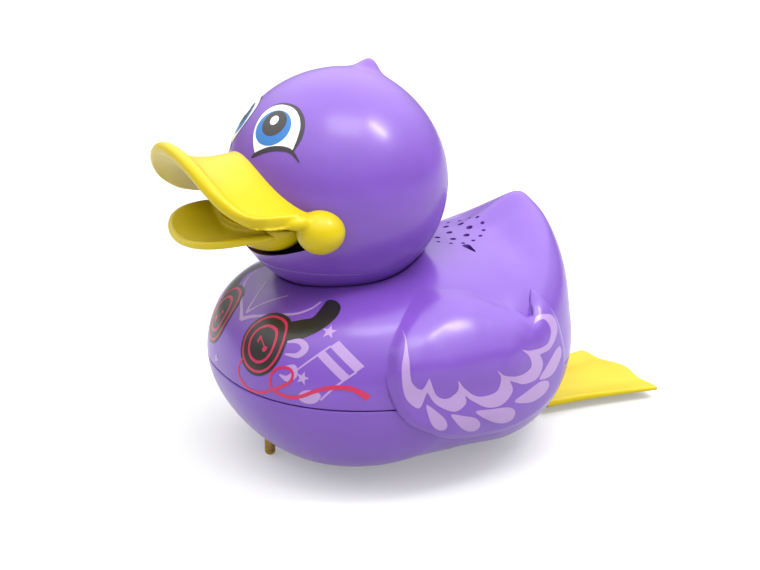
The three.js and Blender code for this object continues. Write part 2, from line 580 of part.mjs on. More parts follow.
// the upper bill fans out from its root on the face to a broad lip that turns up in the middle
function upperBill() {
  const top = [];
  const bottom = [];
  const columns = 20;
  const rows = 6;
  for (let i = 0; i <= rows; i += 1) {
    top.push([]);
    bottom.push([]);
  }
  for (let j = 0; j <= columns; j += 1) {
    const t = -Math.PI / 2 + (Math.PI * j) / columns;
    const c = Math.max(Math.cos(t), 0);
    const s = Math.sin(t);
    const rim = new THREE.Vector3(
      UPPER_BILL.halfWidth * Math.sign(s) * Math.abs(s) ** 0.9,
      UPPER_BILL.back - UPPER_BILL.reach * c ** 0.3,
      UPPER_BILL.edgeZ + UPPER_BILL.rise * c ** 1.36);
    const rootX = UPPER_BILL.rootHalf * s;
    const rootZ = UPPER_BILL.rootZ + UPPER_BILL.rootRise * c ** 3;
    const root = new THREE.Vector3(rootX, onHead(rootX, rootZ), rootZ);
    for (let i = 0; i <= rows; i += 1) {
      const v = i / rows;
      const p = root.clone().lerp(rim, v);
      p.z -= UPPER_BILL.sag * Math.sin(Math.PI * v) * c;
      top[i].push([p.x, p.y, p.z]);
      bottom[i].push([p.x * 0.98, p.y + 0.6, p.z - UPPER_BILL.thick]);
    }
  }
  const cheeks = both((side) => ball(CHEEK.r, side * CHEEK.x, JAW.y, JAW.z));
  return sheet(top, bottom).add(cheeks).subtract(headForm(GAP));
}
piece("upper_bill", upperBill(), "yellow");

function ellipsoid(half, shrink) {
  const geometry = new THREE.SphereGeometry(1, 16, 8).scale(...half.map((h) => h - shrink));
  return solid(geometry, [0, BELLY.y, BELLY.z]);
}

// a spoon with a deep belly behind, whose two arms turn on the jaw pin
function lowerBill() {
  const top = [];
  const bottom = [];
  const rows = 11;
  const columns = 10;
  for (let i = 0; i <= rows; i += 1) {
    const t = (Math.PI / 2) * (0.97 - 0.94 * (i / rows));
    const c = Math.cos(t);
    const half = LOWER_BILL.halfWidth * Math.sin(t) ** 0.9;
    const y = LOWER_BILL.back - LOWER_BILL.reach * c ** 0.46;
    const z = LOWER_BILL.backZ - LOWER_BILL.drop * c ** 1.45;
    top.push([]);
    bottom.push([]);
    for (let j = 0; j <= columns; j += 1) {
      const w = -1 + (2 * j) / columns;
      const dish = LOWER_BILL.dish * (1 - w * w) * Math.sin(t);
      top[i].push([half * w, y, z - dish]);
      bottom[i].push([half * w * 0.97, y + 1.2 * c, z - dish - LOWER_BILL.thick]);
    }
  }
  const wallZone = headForm(JAW.room, 24, 14).subtract(headForm(-WALL - JAW.room, 20, 12));
  let bill = sheet(top, bottom).subtract(headForm(0.8));
  bill = bill.subtract(both((side) => ball(CHEEK.r + 0.8, side * CHEEK.x, JAW.y, JAW.z)));
  bill = bill.add(ellipsoid(BELLY.half, 0).intersect(below(BELLY.z)));
  const arm = (side) => {
    const low = side > 0 ? 14 : -17.4;
    return block([low, -36.4, 67], [low + 3.4, JAW.y, 70.8]).add(crossRod(2.6, low, low + 3.4, JAW.y, JAW.z));
  };
  const magnetArm = block([-2.5, -30.5, 63.4], [2.5, MAGNET.y - GAP, 68]);
  bill = bill.subtract(ellipsoid(BELLY.half, BELLY.wall)).add(both(arm)).add(magnetArm);
  bill = bill.subtract(wallZone.subtract(mouthOpening(JAW.room)));
  return bill.subtract(crossRod(JAW.bore, -30, 30, JAW.y, JAW.z, 12));
}
piece("lower_bill", lowerBill(), "yellow");
piece("jaw_pin", crossRod(JAW.pin, -JAW.halfLength, JAW.halfLength, JAW.y, JAW.z, 12), "steel");

const alongY = (geometry, y, z) => solid(geometry, [0, y, z]);
const magnetDisc = new THREE.CylinderGeometry(MAGNET.r, MAGNET.r, MAGNET.thick, 18);
piece("jaw_magnet", alongY(magnetDisc, MAGNET.y + MAGNET.thick / 2, MAGNET.z), "steel");

const spool = [
  [1.2, 0], [COIL.r, 0], [COIL.r, 0.8], [COIL.core, 0.8], [COIL.core, COIL.length - 0.8],
  [COIL.r, COIL.length - 0.8], [COIL.r, COIL.length], [1.2, COIL.length], [1.2, 0],
];
piece("jaw_coil_bobbin", alongY(turned(spool, 14), COIL.y, MAGNET.z), "white");
const winding = ringProfile(COIL.core + 0.2, COIL.r - 0.5, 1, COIL.length - 1);
piece("jaw_coil_winding", alongY(turned(winding, 14), COIL.y, MAGNET.z), "copper");
piece("jaw_coil_core", alongY(new THREE.CylinderGeometry(0.9, 0.9, 7.2, 8), COIL.y + 4, MAGNET.z), "steel");
const bracket = block([-30, COIL.y + 8.2, 62], [30, COIL.y + 9.6, 70]);
piece("coil_bracket", bracket.intersect(headForm(-WALL - GAP, 20, 12)), "white");

// ---- wings ----------------------------------------------------------------------------------------
const WING_OUTLINE = [
  [-20.9, 43.9], [-14.9, 48.8], [-6.5, 52.3], [-0.2, 52.6], [6, 51.5], [13, 48.5], [19.9, 44.6],
  [22.4, 47.8], [24.9, 49.7], [27, 47.8], [29.8, 43], [32, 38], [33.4, 33], [33, 27.6], [28.6, 21],
  [18.5, 16.8], [6, 15.4], [-5, 16.6], [-13, 19.8], [-18.5, 23], [-22, 28], [-23.6, 34], [-23.1, 39],
];
for (const [name, side] of [["left", 1], ["right", -1]]) {
  const prism = sidePrism(WING_OUTLINE, side > 0 ? 20 : -60, side > 0 ? 60 : -20);
  const skin = prism.intersect(bodyForm(WING.thick)).subtract(bodyForm(GAP));
  const bore = crossRod(SCREW_BORE, -46.3, 46.3, WING.screwY, WING.screwZ, 8);
  piece(`${name}_wing`, skin.subtract(bore), "purple");
  const size = { head: 1.8, headHeight: 0.9, shank: 0.8, length: 7.4 };
  screw(`${name}_wing_screw`, [side * 38.6, WING.screwY, WING.screwZ], [0, 0, (-side * Math.PI) / 2], size);
}

// ---- flipper --------------------------------------------------------------------------------------
function flipper() {
  const shape = new THREE.Shape();
  shape.moveTo(-FLIPPER.rootHalf, FLIPPER.front);
  shape.lineTo(FLIPPER.rootHalf, FLIPPER.front);
  shape.lineTo(FLIPPER.half, FLIPPER.corner);
  shape.quadraticCurveTo(9, FLIPPER.tip - 1.5, 0, FLIPPER.tip);
  shape.quadraticCurveTo(-9, FLIPPER.tip - 1.5, -FLIPPER.half, FLIPPER.corner);
  const extrusion = { depth: FLIPPER.plate, bevelEnabled: false, curveSegments: 5 };
  const plate = new THREE.ExtrudeGeometry(shape, extrusion);
  const knuckle = crossRod(2.5, -5.8, 5.8, FLIPPER.y, FLIPPER.z);
  const neck = block([-5.8, FLIPPER.y, 2.6], [5.8, FLIPPER.front + 2, 6]);
  const whole = solid(plate, [0, 0, FLIPPER.z - 2.8]).add(knuckle).add(neck);
  return whole.subtract(crossRod(FLIPPER.bore, -20, 20, FLIPPER.y, FLIPPER.z, 12));
}
piece("flipper", flipper(), "yellow");
piece("flipper_pin", crossRod(FLIPPER.pin, -9.6, 9.6, FLIPPER.y, FLIPPER.z, 12), "steel");

export default duck;
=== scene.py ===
"""Looks of the floating singing duck: fine shells, bills, wings, flipper, prints and materials."""
import json
import math

import bmesh
import bpy
import numpy as np
from mathutils import Matrix, Vector
from mathutils.bvhtree import BVHTree


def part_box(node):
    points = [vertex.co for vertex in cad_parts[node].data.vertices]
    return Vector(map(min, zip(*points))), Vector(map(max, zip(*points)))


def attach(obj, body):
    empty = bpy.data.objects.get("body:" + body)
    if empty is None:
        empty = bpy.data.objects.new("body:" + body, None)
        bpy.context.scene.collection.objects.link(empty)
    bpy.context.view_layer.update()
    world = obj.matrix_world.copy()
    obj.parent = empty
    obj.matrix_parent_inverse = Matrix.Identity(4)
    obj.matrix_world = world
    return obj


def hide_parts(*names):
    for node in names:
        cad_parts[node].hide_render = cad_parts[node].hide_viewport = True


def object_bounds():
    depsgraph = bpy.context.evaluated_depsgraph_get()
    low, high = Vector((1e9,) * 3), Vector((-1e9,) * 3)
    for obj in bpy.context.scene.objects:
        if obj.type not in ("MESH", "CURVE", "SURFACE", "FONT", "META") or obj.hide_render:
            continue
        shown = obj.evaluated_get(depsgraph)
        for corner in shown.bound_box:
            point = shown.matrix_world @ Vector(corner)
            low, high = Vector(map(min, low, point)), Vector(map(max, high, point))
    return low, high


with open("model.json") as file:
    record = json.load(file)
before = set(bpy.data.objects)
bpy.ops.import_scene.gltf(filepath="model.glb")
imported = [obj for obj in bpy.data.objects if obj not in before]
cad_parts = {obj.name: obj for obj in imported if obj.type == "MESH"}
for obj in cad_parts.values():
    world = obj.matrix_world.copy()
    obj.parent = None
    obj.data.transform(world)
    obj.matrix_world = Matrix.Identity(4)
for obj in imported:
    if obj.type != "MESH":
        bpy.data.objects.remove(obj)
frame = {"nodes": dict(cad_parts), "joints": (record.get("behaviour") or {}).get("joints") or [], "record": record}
CAD_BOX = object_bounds()

MM = 0.001  # every size below is in millimetres, in the frame that the CAD uses
ACROSS, BEHIND, UP = np.eye(3)  # to the duck's left, to its tail, and up


def cad(node):
    """Lowest and highest corner of a CAD node, in millimetres."""
    return [np.array(corner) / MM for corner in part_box(node)]


def joint_place(name):
    """Where a CAD joint's axis passes, in millimetres."""
    return np.array(next(j["pos_m"] for j in frame["joints"] if j["name"] == name)) / MM


# ---- driving dimensions ----
WALL = 2.0
SEAM_Z = cad("body_upper_shell")[0][2]
HULL_TOP = cad("hull_shell")[1][2]
HALF_WIDTH = cad("hull_shell")[1][0]
BODY_CENTRE = np.array([0.0, 0.0, SEAM_Z])
PAST_BODY = 60.0  # an x that is outside the body everywhere

# side outline of the body: distance from the seam's centre every 15 degrees, from the rear over the top
OUTLINE = np.array([
    52.6, 52.8, 52, 43.8, 35.6, 32.2, 31.5, 32, 34.5, 40, 46, 50,
    51.2, 48.5, 43.6, 36.5, 29.8, 26.6, 25.8, 26.6, 30, 36.8, 44, 49.8,
])
BODY_POWER = 2.34
TAIL = {"angle": 42, "rise": 14.4, "front": (6.5, 12.0), "rear": (15.0, 23.0), "blend": 5, "power": 0.85,
        "tip_angle": 46, "tip_rise": 3.8, "tip_spread": 3.4,
        "groove": (6.0, 7.0), "groove_width": (3.4, 4.5), "groove_depth": 1.3}

SWIVEL_Y = joint_place("head_swivel")[1]
HEAD_CENTRE = np.array([0.0, SWIVEL_Y, 74.5])
HEAD_R = 29.9
TUFT = {"along": (0.0, 9.6, 31.8), "swell": 0.8, "swell_width": 24.0, "peak": 3.0, "peak_width": 5.5}
BOWL_GAP = 0.12
NECK_DIP = {"depth": 3.2, "from": 33, "over": 26, "behind": 0.1, "before": -0.25}
NECK_HOLE = 10.6
SPIGOT = {"bore": 5.0, "r": 9.0, "edge": 0.4, "top": 46.5}
PARTING = {"y": -14.0, "z": 76.2, "run": 20.0, "drop": 21.4, "gap": 0.16}

JAW = joint_place("jaw_hinge")
CHEEK = {"x": 24.3, "radii": (6.0, 6.1, 5.6), "neck": (25.4, -6.6, 3.1), "neck_radii": (2.2, 3.8, 1.9)}
UPPER_BILL = {"half": 26.4, "back": -41.0, "reach": 23.3, "edge_z": 71.6, "rise": 15.1,
              "root_half": 23.5, "root_z": 72.2, "root_rise": 12.4, "sunk": 1.0, "thick": 2.4, "sag": 2.2,
              "bead": 1.1, "bead_width": 4.5, "melt": 14}
LOWER_BILL = {"half": 22.4, "back": -38.9, "reach": 22.9, "back_z": 68.2, "drop": 3.4, "thick": 2.0,
              "dish": 3.0, "clear": 0.8, "melt": 6}
BELLY = {"y": -38.2, "z": 68.0, "lid_z": 67.2, "half": (18.2, 10.4, 9.5)}
MOUTH = {"half": 20.8, "corner_z": 62.6, "lip_z": 57.8, "top_z": 67.2, "crown_z": 72.2,
         "ends": (-32.0, -62.0)}

# the grille's rings: how many holes, the ring's radius and the holes' radius
GRILLE = {"angle": 57.7, "rings": ((1, 0.0, 0.95), (8, 6.0, 0.95), (18, 10.0, 0.6))}
MICROPHONE_SLOT = [(10.9, -2), (11.6, -3.1), (13.4, -2.9), (16.6, -2), (13.4, -1.1), (11.6, -0.9)]

POST_PLACES = [(x, y) for x in (-26, 26) for y in (-22, 24)]
POST_R = 4.2
FOOT_R = 1.5
BOSS = {"r": 2.8, "low": 0.8, "high": 11.5}
DOOR_LOW, DOOR_HIGH = cad("battery_door")
SWITCH_LOW, SWITCH_HIGH = cad("switch_knob")
SWITCH_TRAVEL = 3.0
FIT = 0.3  # clearance round parts that go into an opening

FLIPPER_AXIS = joint_place("flipper_hinge")
LUG = {"x": 7.5, "half": 1.2, "edge": 0.3, "outline": (
    (-4, 8), (-4, -1), (-1.6, -2.4), (0.8, -2.5), (2.4, -1.2), (2.6, 1.5), (2.2, 8))}
FLIPPER = {"front": 2.9, "root_half": 14.2, "toe": 1.4, "bow": 3.0,
           "half_thick": 1.15, "thinner": 0.45, "middle_z": 1.5,
           "knuckle_half": 5.8, "knuckle_r": 2.5, "knuckle_edge": 0.3, "pin_r": 1.3,
           "instep": (0.0, 4.2, -0.5), "instep_radii": (5.4, 4.4, 1.9)}

CAMERA = {"azimuth": 61.0, "elevation": 17.0, "roll": 1.0, "lens": 50.0, "distance": 300.0,
          "target": (0.0, -3.0, 43.4)}
# the sky's strength goes from To Min at the horizon to To Max overhead
SKY = {"From Min": 0.0, "From Max": 0.95, "To Min": 0.26, "To Max": 3.0}
FLOOR = {"tone": 0.42, "glow": 0.3, "reach": 4000.0}
# each lamp: place, size, power and the direction that its long side follows
LAMPS = {"strip": ((176, 132, 366), (110, 34), 0.6, (0.55, 0.69, -0.48)),
         "softbox": ((150, -50, 410), (190, 120), 0.5, (0.485, 0.875, 0))}
LAMPS_AIM = HEAD_CENTRE + [20, -18, 20]


# ---- small maths ----
HALVINGS = 40  # steps of a search between two values


def unit(v):
    v = np.asarray(v, float)
    return v / np.linalg.norm(v, axis=-1, keepdims=True)


def bump(distance, width):
    return np.exp(-((distance / width) ** 2))


def soft_step(t):
    t = np.clip(t, 0, 1)
    return t * t * (3 - 2 * t)


def degrees_between(d, axis):
    return np.degrees(np.arccos(np.clip(d @ unit(axis), -1, 1)))


def backwards(degrees):
    return np.array([0.0, math.cos(math.radians(degrees)), math.sin(math.radians(degrees))])


def between(p0, p1, p2, p3, f):
    """The place a share f of the way from p1 to p2 on a Catmull-Rom curve."""
    return p1 + 0.5 * f * (p2 - p0 + f * (2 * p0 - 5 * p1 + 4 * p2 - p3 + f * (3 * (p1 - p2) + p3 - p0)))


def spline(points, count, closed=False):
    """count points along a smooth curve through the given ones."""
    p = np.asarray(points, float)
    n = len(p)
    at = np.linspace(0, n if closed else n - 1, count, endpoint=not closed)
    i = np.minimum(np.floor(at).astype(int), n - 1 if closed else n - 2)
    f = (at - i)[:, None]
    if closed:
        p0, p1, p2, p3 = (p[(i + k) % n] for k in (-1, 0, 1, 2))
    else:
        long = np.vstack([2 * p[0] - p[1], p, 2 * p[-1] - p[-2]])
        p0, p1, p2, p3 = (long[i + k] for k in (0, 1, 2, 3))
    return between(p0, p1, p2, p3, f)


def crossing(is_inside, low, high, count):
    """For each column, the value between low and high where is_inside(values) turns false."""
    a = np.full(count, float(low))
    b = np.full(count, float(high))
    for _ in range(HALVINGS):
        middle = (a + b) / 2
        inside = is_inside(middle)
        a = np.where(inside, middle, a)
        b = np.where(inside, b, middle)
    return (a + b) / 2


# ---- the forms that the CAD shells follow ----
def outline_radius(degrees):
    n = len(OUTLINE)
    at = (degrees / 360) % 1 * n
    i = np.floor(at).astype(int)
    return between(*(OUTLINE[(i + k) % n] for k in (-1, 0, 1, 2)), at - i)


def body_radius(d):
    """Distance from the body's centre to its surface along each unit direction."""
    sideways = np.abs(d[..., 0]) / HALF_WIDTH
    upright = np.hypot(d[..., 1], d[..., 2]) / outline_radius(np.degrees(np.arctan2(d[..., 2], d[..., 1])))
    hull = (sideways**BODY_POWER + upright**BODY_POWER) ** (-1 / BODY_POWER)
    return hull + tail_rise(d) - neck_dip(d)


def tail_rise(d):
    """The upturned tail: broad behind, narrow and hollowed in front, and pointed."""
    along = np.degrees(np.arctan2(d[..., 2], d[..., 1])) - TAIL["angle"]
    across = np.degrees(np.arcsin(np.clip(np.abs(d[..., 0]), 0, 1)))
    in_front = soft_step((along / TAIL["blend"] + 1) / 2)
    length, width = (rear + (front - rear) * in_front for rear, front in zip(TAIL["rear"], TAIL["front"]))
    rise = TAIL["rise"] * np.exp(-((along / length) ** 2 + (across / width) ** 2) ** TAIL["power"])
    tip = TAIL["tip_rise"] * np.exp(-degrees_between(d, backwards(TAIL["tip_angle"])) / TAIL["tip_spread"])
    places = zip((along, across), TAIL["groove"], TAIL["groove_width"])
    groove = np.prod([bump(at - middle, width) for at, middle, width in places], axis=0)
    return rise + tip - TAIL["groove_depth"] * groove


def neck_dip(d):
    """A shallow hollow in the breast under the head."""
    n = NECK_DIP
    near = 1 - soft_step((degrees_between(d, HEAD_CENTRE - BODY_CENTRE) - n["from"]) / n["over"])
    return n["depth"] * near * (1 - soft_step((d[..., 1] - n["before"]) / (n["behind"] - n["before"])))


def head_radius(d):
    t = degrees_between(d, TUFT["along"])
    return HEAD_R + TUFT["swell"] * bump(t, TUFT["swell_width"]) + TUFT["peak"] * bump(t, TUFT["peak_width"])


def outside_body(p):
    q = p - BODY_CENTRE
    away = np.linalg.norm(q, axis=-1)
    return away - body_radius(q / away[..., None])


def on_body(p, lift=0.0):
    """The points moved straight out from the body's centre onto its surface."""
    d = unit(np.asarray(p, float) - BODY_CENTRE)
    return BODY_CENTRE + d * (body_radius(d) + lift)[..., None]


def on_head(p, lift=0.0):
    d = unit(np.asarray(p, float) - HEAD_CENTRE)
    return HEAD_CENTRE + d * (head_radius(d) + lift)[..., None]


def body_side(yz):
    """How far out in x the body's side is at each (y, z)."""
    y, z = yz[..., 0].ravel(), yz[..., 1].ravel()

    def is_inside(x):
        return outside_body(np.stack([x, y, z], -1)) < 0

    return crossing(is_inside, 0, PAST_BODY, len(y)).reshape(yz.shape[:-1])


# ---- mesh building ----
SHARP = 35  # edges of shells that turn by more degrees than this aren't smoothed
FINE_SHARP = 40  # the same for turned parts and prints
BALL_ROWS, BALL_COLUMNS = 32, 64
MELT_VOXEL = 0.34  # the grid on which overlapping bodies are joined
EASE_PASSES = 10


def add_object(name, data):
    """A new object in the scene."""
    obj = bpy.data.objects.new(name, data)
    bpy.context.scene.collection.objects.link(obj)
    return obj


def mesh_object(name, points, faces, material, sharp=None):
    """A smooth-shaded object whose coincident points are merged and whose faces point out."""
    mesh = bpy.data.meshes.new(name)
    mesh.from_pydata((np.asarray(points).reshape(-1, 3) * MM).tolist(), [], faces)
    work = bmesh.new()
    work.from_mesh(mesh)
    bmesh.ops.remove_doubles(work, verts=work.verts, dist=1e-7)
    bmesh.ops.recalc_face_normals(work, faces=work.faces)
    work.to_mesh(mesh)
    work.free()
    mesh.shade_smooth()
    if sharp:
        mesh.set_sharp_from_angle(angle=math.radians(sharp))
    mesh.materials.append(material)
    return add_object(name, mesh)


def fan(columns, first, second):
    """Unit directions all the way round, from the first towards the second."""
    turn = np.linspace(0, 2 * math.pi, columns, endpoint=False)[:, None]
    return np.cos(turn) * first + np.sin(turn) * second


def grid_faces(rows, columns, closed=True):
    """The faces between the rows of a grid of points, which may close up sideways."""
    faces = []
    for i in range(rows - 1):
        for j in range(columns if closed else columns - 1):
            k, m = i + 1, (j + 1) % columns
            faces.append((i * columns + j, i * columns + m, k * columns + m, k * columns + j))
    return faces


def skin(name, rows, material, sharp=None):
    """A closed body from rings of points, the first and last of which are single points."""
    grid = np.stack(rows)
    return mesh_object(name, grid, grid_faces(*grid.shape[:2]), material, sharp)


def slab(name, top, bottom, material, closed=False, sharp=None):
    """A closed sheet between two grids of points."""
    rows, columns = top.shape[:2]
    count = rows * columns
    faces = grid_faces(rows, columns, closed)
    faces += [tuple(count + k for k in reversed(f)) for f in faces]
    span = columns if closed else columns - 1
    edges = [(i * columns + j, i * columns + (j + 1) % columns) for i in (0, rows - 1) for j in range(span)]
    if not closed:
        edges += [(i * columns + j, (i + 1) * columns + j) for j in (0, columns - 1) for i in range(rows - 1)]
    faces += [(a, b, count + b, count + a) for a, b in edges]
    points = np.concatenate([top.reshape(-1, 3), bottom.reshape(-1, 3)])
    return mesh_object(name, points, faces, material, sharp)


def turned(name, profile, centre, material, sides=48, axis=(0, 0, 1)):
    """A body turned about an axis from (radius, height) points that start and end on it."""
    axis = unit(axis)
    first = unit(np.cross(axis, [0, 1, 0] if abs(axis[1]) < 0.9 else [1, 0, 0]))
    around = fan(sides, first, np.cross(axis, first))
    rows = [np.asarray(centre) + axis * h + around * r for r, h in profile]
    return skin(name, rows, material, FINE_SHARP)


def rod(name, r, low, high, centre, material, sides=48, axis=(0, 0, 1)):
    """A plain cylinder between two heights along its axis."""
    return turned(name, [(0, low), (r, low), (r, high), (0, high)], centre, material, sides, axis)


def brick(name, low, high, material):
    """A plain box, used as a cutter."""
    corners = [(x, y, z) for z in (low[2], high[2]) for y in (low[1], high[1]) for x in (low[0], high[0])]
    faces = [(0, 1, 3, 2), (4, 6, 7, 5), (0, 4, 5, 1), (2, 3, 7, 6), (0, 2, 6, 4), (1, 5, 7, 3)]
    return mesh_object(name, corners, faces, material)


def join(name, pieces):
    """One object from several."""
    work = bmesh.new()
    for piece in pieces:
        work.from_mesh(piece.data)
    mesh = bpy.data.meshes.new(name)
    work.to_mesh(mesh)
    work.free()
    mesh.materials.append(pieces[0].data.materials[0])
    for piece in pieces:
        bpy.data.objects.remove(piece)
    return add_object(name, mesh)


def settle(obj):
    """Applies the modifiers of an object."""
    graph = bpy.context.evaluated_depsgraph_get()
    graph.update()
    mesh = bpy.data.meshes.new_from_object(obj.evaluated_get(graph), depsgraph=graph)
    obj.modifiers.clear()
    obj.data = mesh


def carve(obj, cutter, operation="DIFFERENCE"):
    """Cuts or joins with another object, which is used up."""
    modifier = obj.modifiers.new("cut", "BOOLEAN")
    modifier.operation = operation
    modifier.solver = "MANIFOLD"
    modifier.object = cutter
    settle(obj)
    bpy.data.objects.remove(cutter)
    obj.data.shade_smooth()
    obj.data.set_sharp_from_angle(angle=math.radians(SHARP))


def melt(obj, passes):
    """Joins overlapping bodies of one mesh into a single moulded skin with small fillets."""
    remesh = obj.modifiers.new("remesh", "REMESH")
    remesh.mode = "VOXEL"
    remesh.voxel_size = MELT_VOXEL * MM
    remesh.use_smooth_shade = True
    smooth = obj.modifiers.new("smooth", "SMOOTH")
    smooth.iterations = passes
    smooth.factor = 0.5
    settle(obj)
    obj.data.shade_smooth()


def ease_rows(grid, corner):
    """Rounds the corner that the rows on both sides of one row make."""
    low, high = corner - FINE_ROWS, corner + FINE_ROWS + 1
    for _ in range(EASE_PASSES):
        part = grid[low:high]
        part[1:-1] = part[1:-1] / 2 + (part[:-2] + part[2:]) / 4
    return grid


def place(obj, body, *nodes, slot=None):
    """Ties a piece to its body and to the CAD nodes that it stands in for; slot is not used."""
    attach(obj, body)
    if nodes:
        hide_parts(*nodes)
    return obj


# ---- materials ----
def linear(rgb):
    """An 8-bit display colour as scene-linear red, green, blue, alpha."""
    return [((c / 255 + 0.055) / 1.055) ** 2.4 if c > 10 else c / 255 / 12.92 for c in rgb] + [1]


def fill(node, values):
    """Sets inputs of a node by their names."""
    for key, value in values.items():
        node.inputs[key].default_value = value


class Nodes:
    """A material's node tree with short calls."""

    def __init__(self, name):
        self.material = bpy.data.materials.new(name)
        self.material.use_nodes = True
        self.tree = self.material.node_tree
        self.shader = self.tree.nodes["Principled BSDF"]
        self.place = self.add("ShaderNodeTexCoord").outputs["Object"]

    def add(self, kind, **values):
        node = self.tree.nodes.new(kind)
        for key, value in values.items():
            setattr(node, key, value)
        return node

    def link(self, a, b):
        self.tree.links.new(a, b)

    def noise(self, size, detail=3.0, stretch=(1, 1, 1)):
        """Noise with features of that size in millimetres, as a value from about 0 to 1."""
        mapping = self.add("ShaderNodeMapping")
        fill(mapping, {"Scale": [s / (size * MM) for s in stretch]})
        self.link(self.place, mapping.inputs["Vector"])
        node = self.add("ShaderNodeTexNoise")
        fill(node, {"Scale": 1, "Detail": detail})
        self.link(mapping.outputs["Vector"], node.inputs["Vector"])
        return node.outputs["Fac"]

    def ramp(self, fac, stops):
        node = self.add("ShaderNodeValToRGB")
        elements = node.color_ramp.elements
        while len(elements) < len(stops):
            elements.new(0.5)
        for element, (at, colour) in zip(elements, stops):
            element.position = at
            element.color = colour
        self.link(fac, node.inputs["Fac"])
        return node.outputs["Color"]

    def spread(self, fac, low, high):
        node = self.add("ShaderNodeMapRange")
        fill(node, {"From Min": 0.3, "From Max": 0.7, "To Min": low, "To Max": high})
        self.link(fac, node.inputs["Value"])
        return node.outputs["Result"]

    def relief(self, height, depth):
        node = self.add("ShaderNodeBump")
        fill(node, {"Distance": depth * MM, "Strength": 1})
        self.link(height, node.inputs["Height"])
        self.link(node.outputs["Normal"], self.shader.inputs["Normal"])


def tones(rgb, change):
    """Three shades of a colour, for a ramp."""
    return [(0.3, linear([c * (1 - change) for c in rgb])), (0.5, linear(rgb)),
            (0.7, linear([min(255, c * (1 + change)) for c in rgb]))]


def glossy(n, coat, coat_roughness, specular):
    """Sets how much the clear coat and the surface under it shine."""
    fill(n.shader, {"Coat Weight": coat, "Coat Roughness": coat_roughness, "Specular IOR Level": specular})


def plastic(name, rgb, rough=(0.29, 0.34), coat=0.16, specular=0.4):
    """Moulded plastic: faint flow marks in its colour, uneven gloss and a fine orange peel."""
    n = Nodes(name)
    flow = n.noise(16, 2, (1, 1, 2.4))
    n.link(n.ramp(flow, tones(rgb, 0.025)), n.shader.inputs["Base Color"])
    n.link(n.spread(n.noise(5, 4), *rough), n.shader.inputs["Roughness"])
    n.relief(n.noise(0.9, 2), 0.006)
    glossy(n, coat, 0.18, specular)
    return n.material


def ink(name, rgb):
    """Pad-printed ink: almost even, with fine speckle where it is thin."""
    n = Nodes(name)
    n.link(n.ramp(n.noise(0.45, 3), tones(rgb, 0.012)), n.shader.inputs["Base Color"])
    n.link(n.spread(n.noise(2.5, 3), 0.29, 0.35), n.shader.inputs["Roughness"])
    n.relief(n.noise(0.6, 2), 0.004)
    glossy(n, 0.2, 0.2, 0.35)
    return n.material


def metal(name, rgb, stretch=(1, 1, 6)):
    """Turned or plated metal with fine tool lines."""
    n = Nodes(name)
    n.link(n.ramp(n.noise(1.6, 3), tones(rgb, 0.06)), n.shader.inputs["Base Color"])
    n.link(n.spread(n.noise(0.7, 4, stretch), 0.22, 0.4), n.shader.inputs["Roughness"])
    n.relief(n.noise(0.35, 3, stretch), 0.01)
    fill(n.shader, {"Metallic": 1})
    return n.material


def rough_stuff(name, rgb, rough, grain, depth, change=0.08):
    """Rubber, paper pulp or matte plastic with a visible grain."""
    n = Nodes(name)
    n.link(n.ramp(n.noise(grain * 3, 4), tones(rgb, change)), n.shader.inputs["Base Color"])
    n.link(n.spread(n.noise(grain * 2, 3), rough - 0.06, rough + 0.06), n.shader.inputs["Roughness"])
    n.relief(n.noise(grain, 4), depth)
    return n.material


PURPLE = plastic("purple_plastic", (101, 63, 154))
YELLOW = plastic("yellow_plastic", (178, 158, 1), rough=(0.3, 0.38), coat=0.04, specular=0.22)
LAVENDER = ink("lavender_ink", (150, 122, 172))
PINK = ink("pink_ink", (166, 26, 70))
BLACK = ink("black_ink", (27, 25, 22))
LINE = ink("eye_line_ink", (32, 24, 38))
WHITE = ink("white_ink", (206, 206, 206))
BLUE = ink("blue_ink", (14, 96, 162))
PUPIL = ink("pupil_ink", (34, 32, 32))
BRASS = metal("contact_brass", (150, 124, 62))
STEEL = metal("zinc_steel", (186, 188, 192))
COPPER = metal("coil_copper", (190, 112, 62), stretch=(1, 9, 1))
RUBBER = rough_stuff("black_rubber", (34, 34, 36), 0.75, 0.5, 0.03)
DARK = rough_stuff("black_plastic", (36, 36, 38), 0.45, 0.35, 0.01)
NYLON = rough_stuff("white_nylon", (226, 224, 216), 0.42, 0.4, 0.008, 0.02)
PAPER = rough_stuff("speaker_paper", (52, 52, 50), 0.85, 0.3, 0.04, 0.15)
BOARD = rough_stuff("circuit_board", (30, 100, 58), 0.4, 1.4, 0.03, 0.12)

SLOT_MATERIALS = {
    "purple_plastic": PURPLE, "yellow_plastic": YELLOW, "contact_brass": BRASS, "zinc_steel": STEEL,
    "black_rubber": RUBBER, "circuit_board": BOARD, "black_plastic": DARK, "white_nylon": NYLON,
    "coil_copper": COPPER, "speaker_paper": PAPER,
}
for part in frame["record"]["subparts"]:
    data = frame["nodes"][part["node"]].data
    data.materials.clear()
    data.materials.append(SLOT_MATERIALS[part["material_slot"]])


# ---- body upper shell ----
BODY_COLUMNS = 300
FINE_ROWS = 7  # close rows on each side of a rounded corner
EDGE_R, SEAM_R = 40, 50  # about how far a rounded corner and the seam are from the body's centre
# rows of points on each part of the two shells
ROWS = {"bowl": 34, "upper": 130, "floor": 26, "hull": 60, "inside": 24, "inner_bowl": 14, "inner_floor": 8}
POLE = unit(HEAD_CENTRE - BODY_CENTRE)
AWAY = np.cross(POLE, ACROSS)

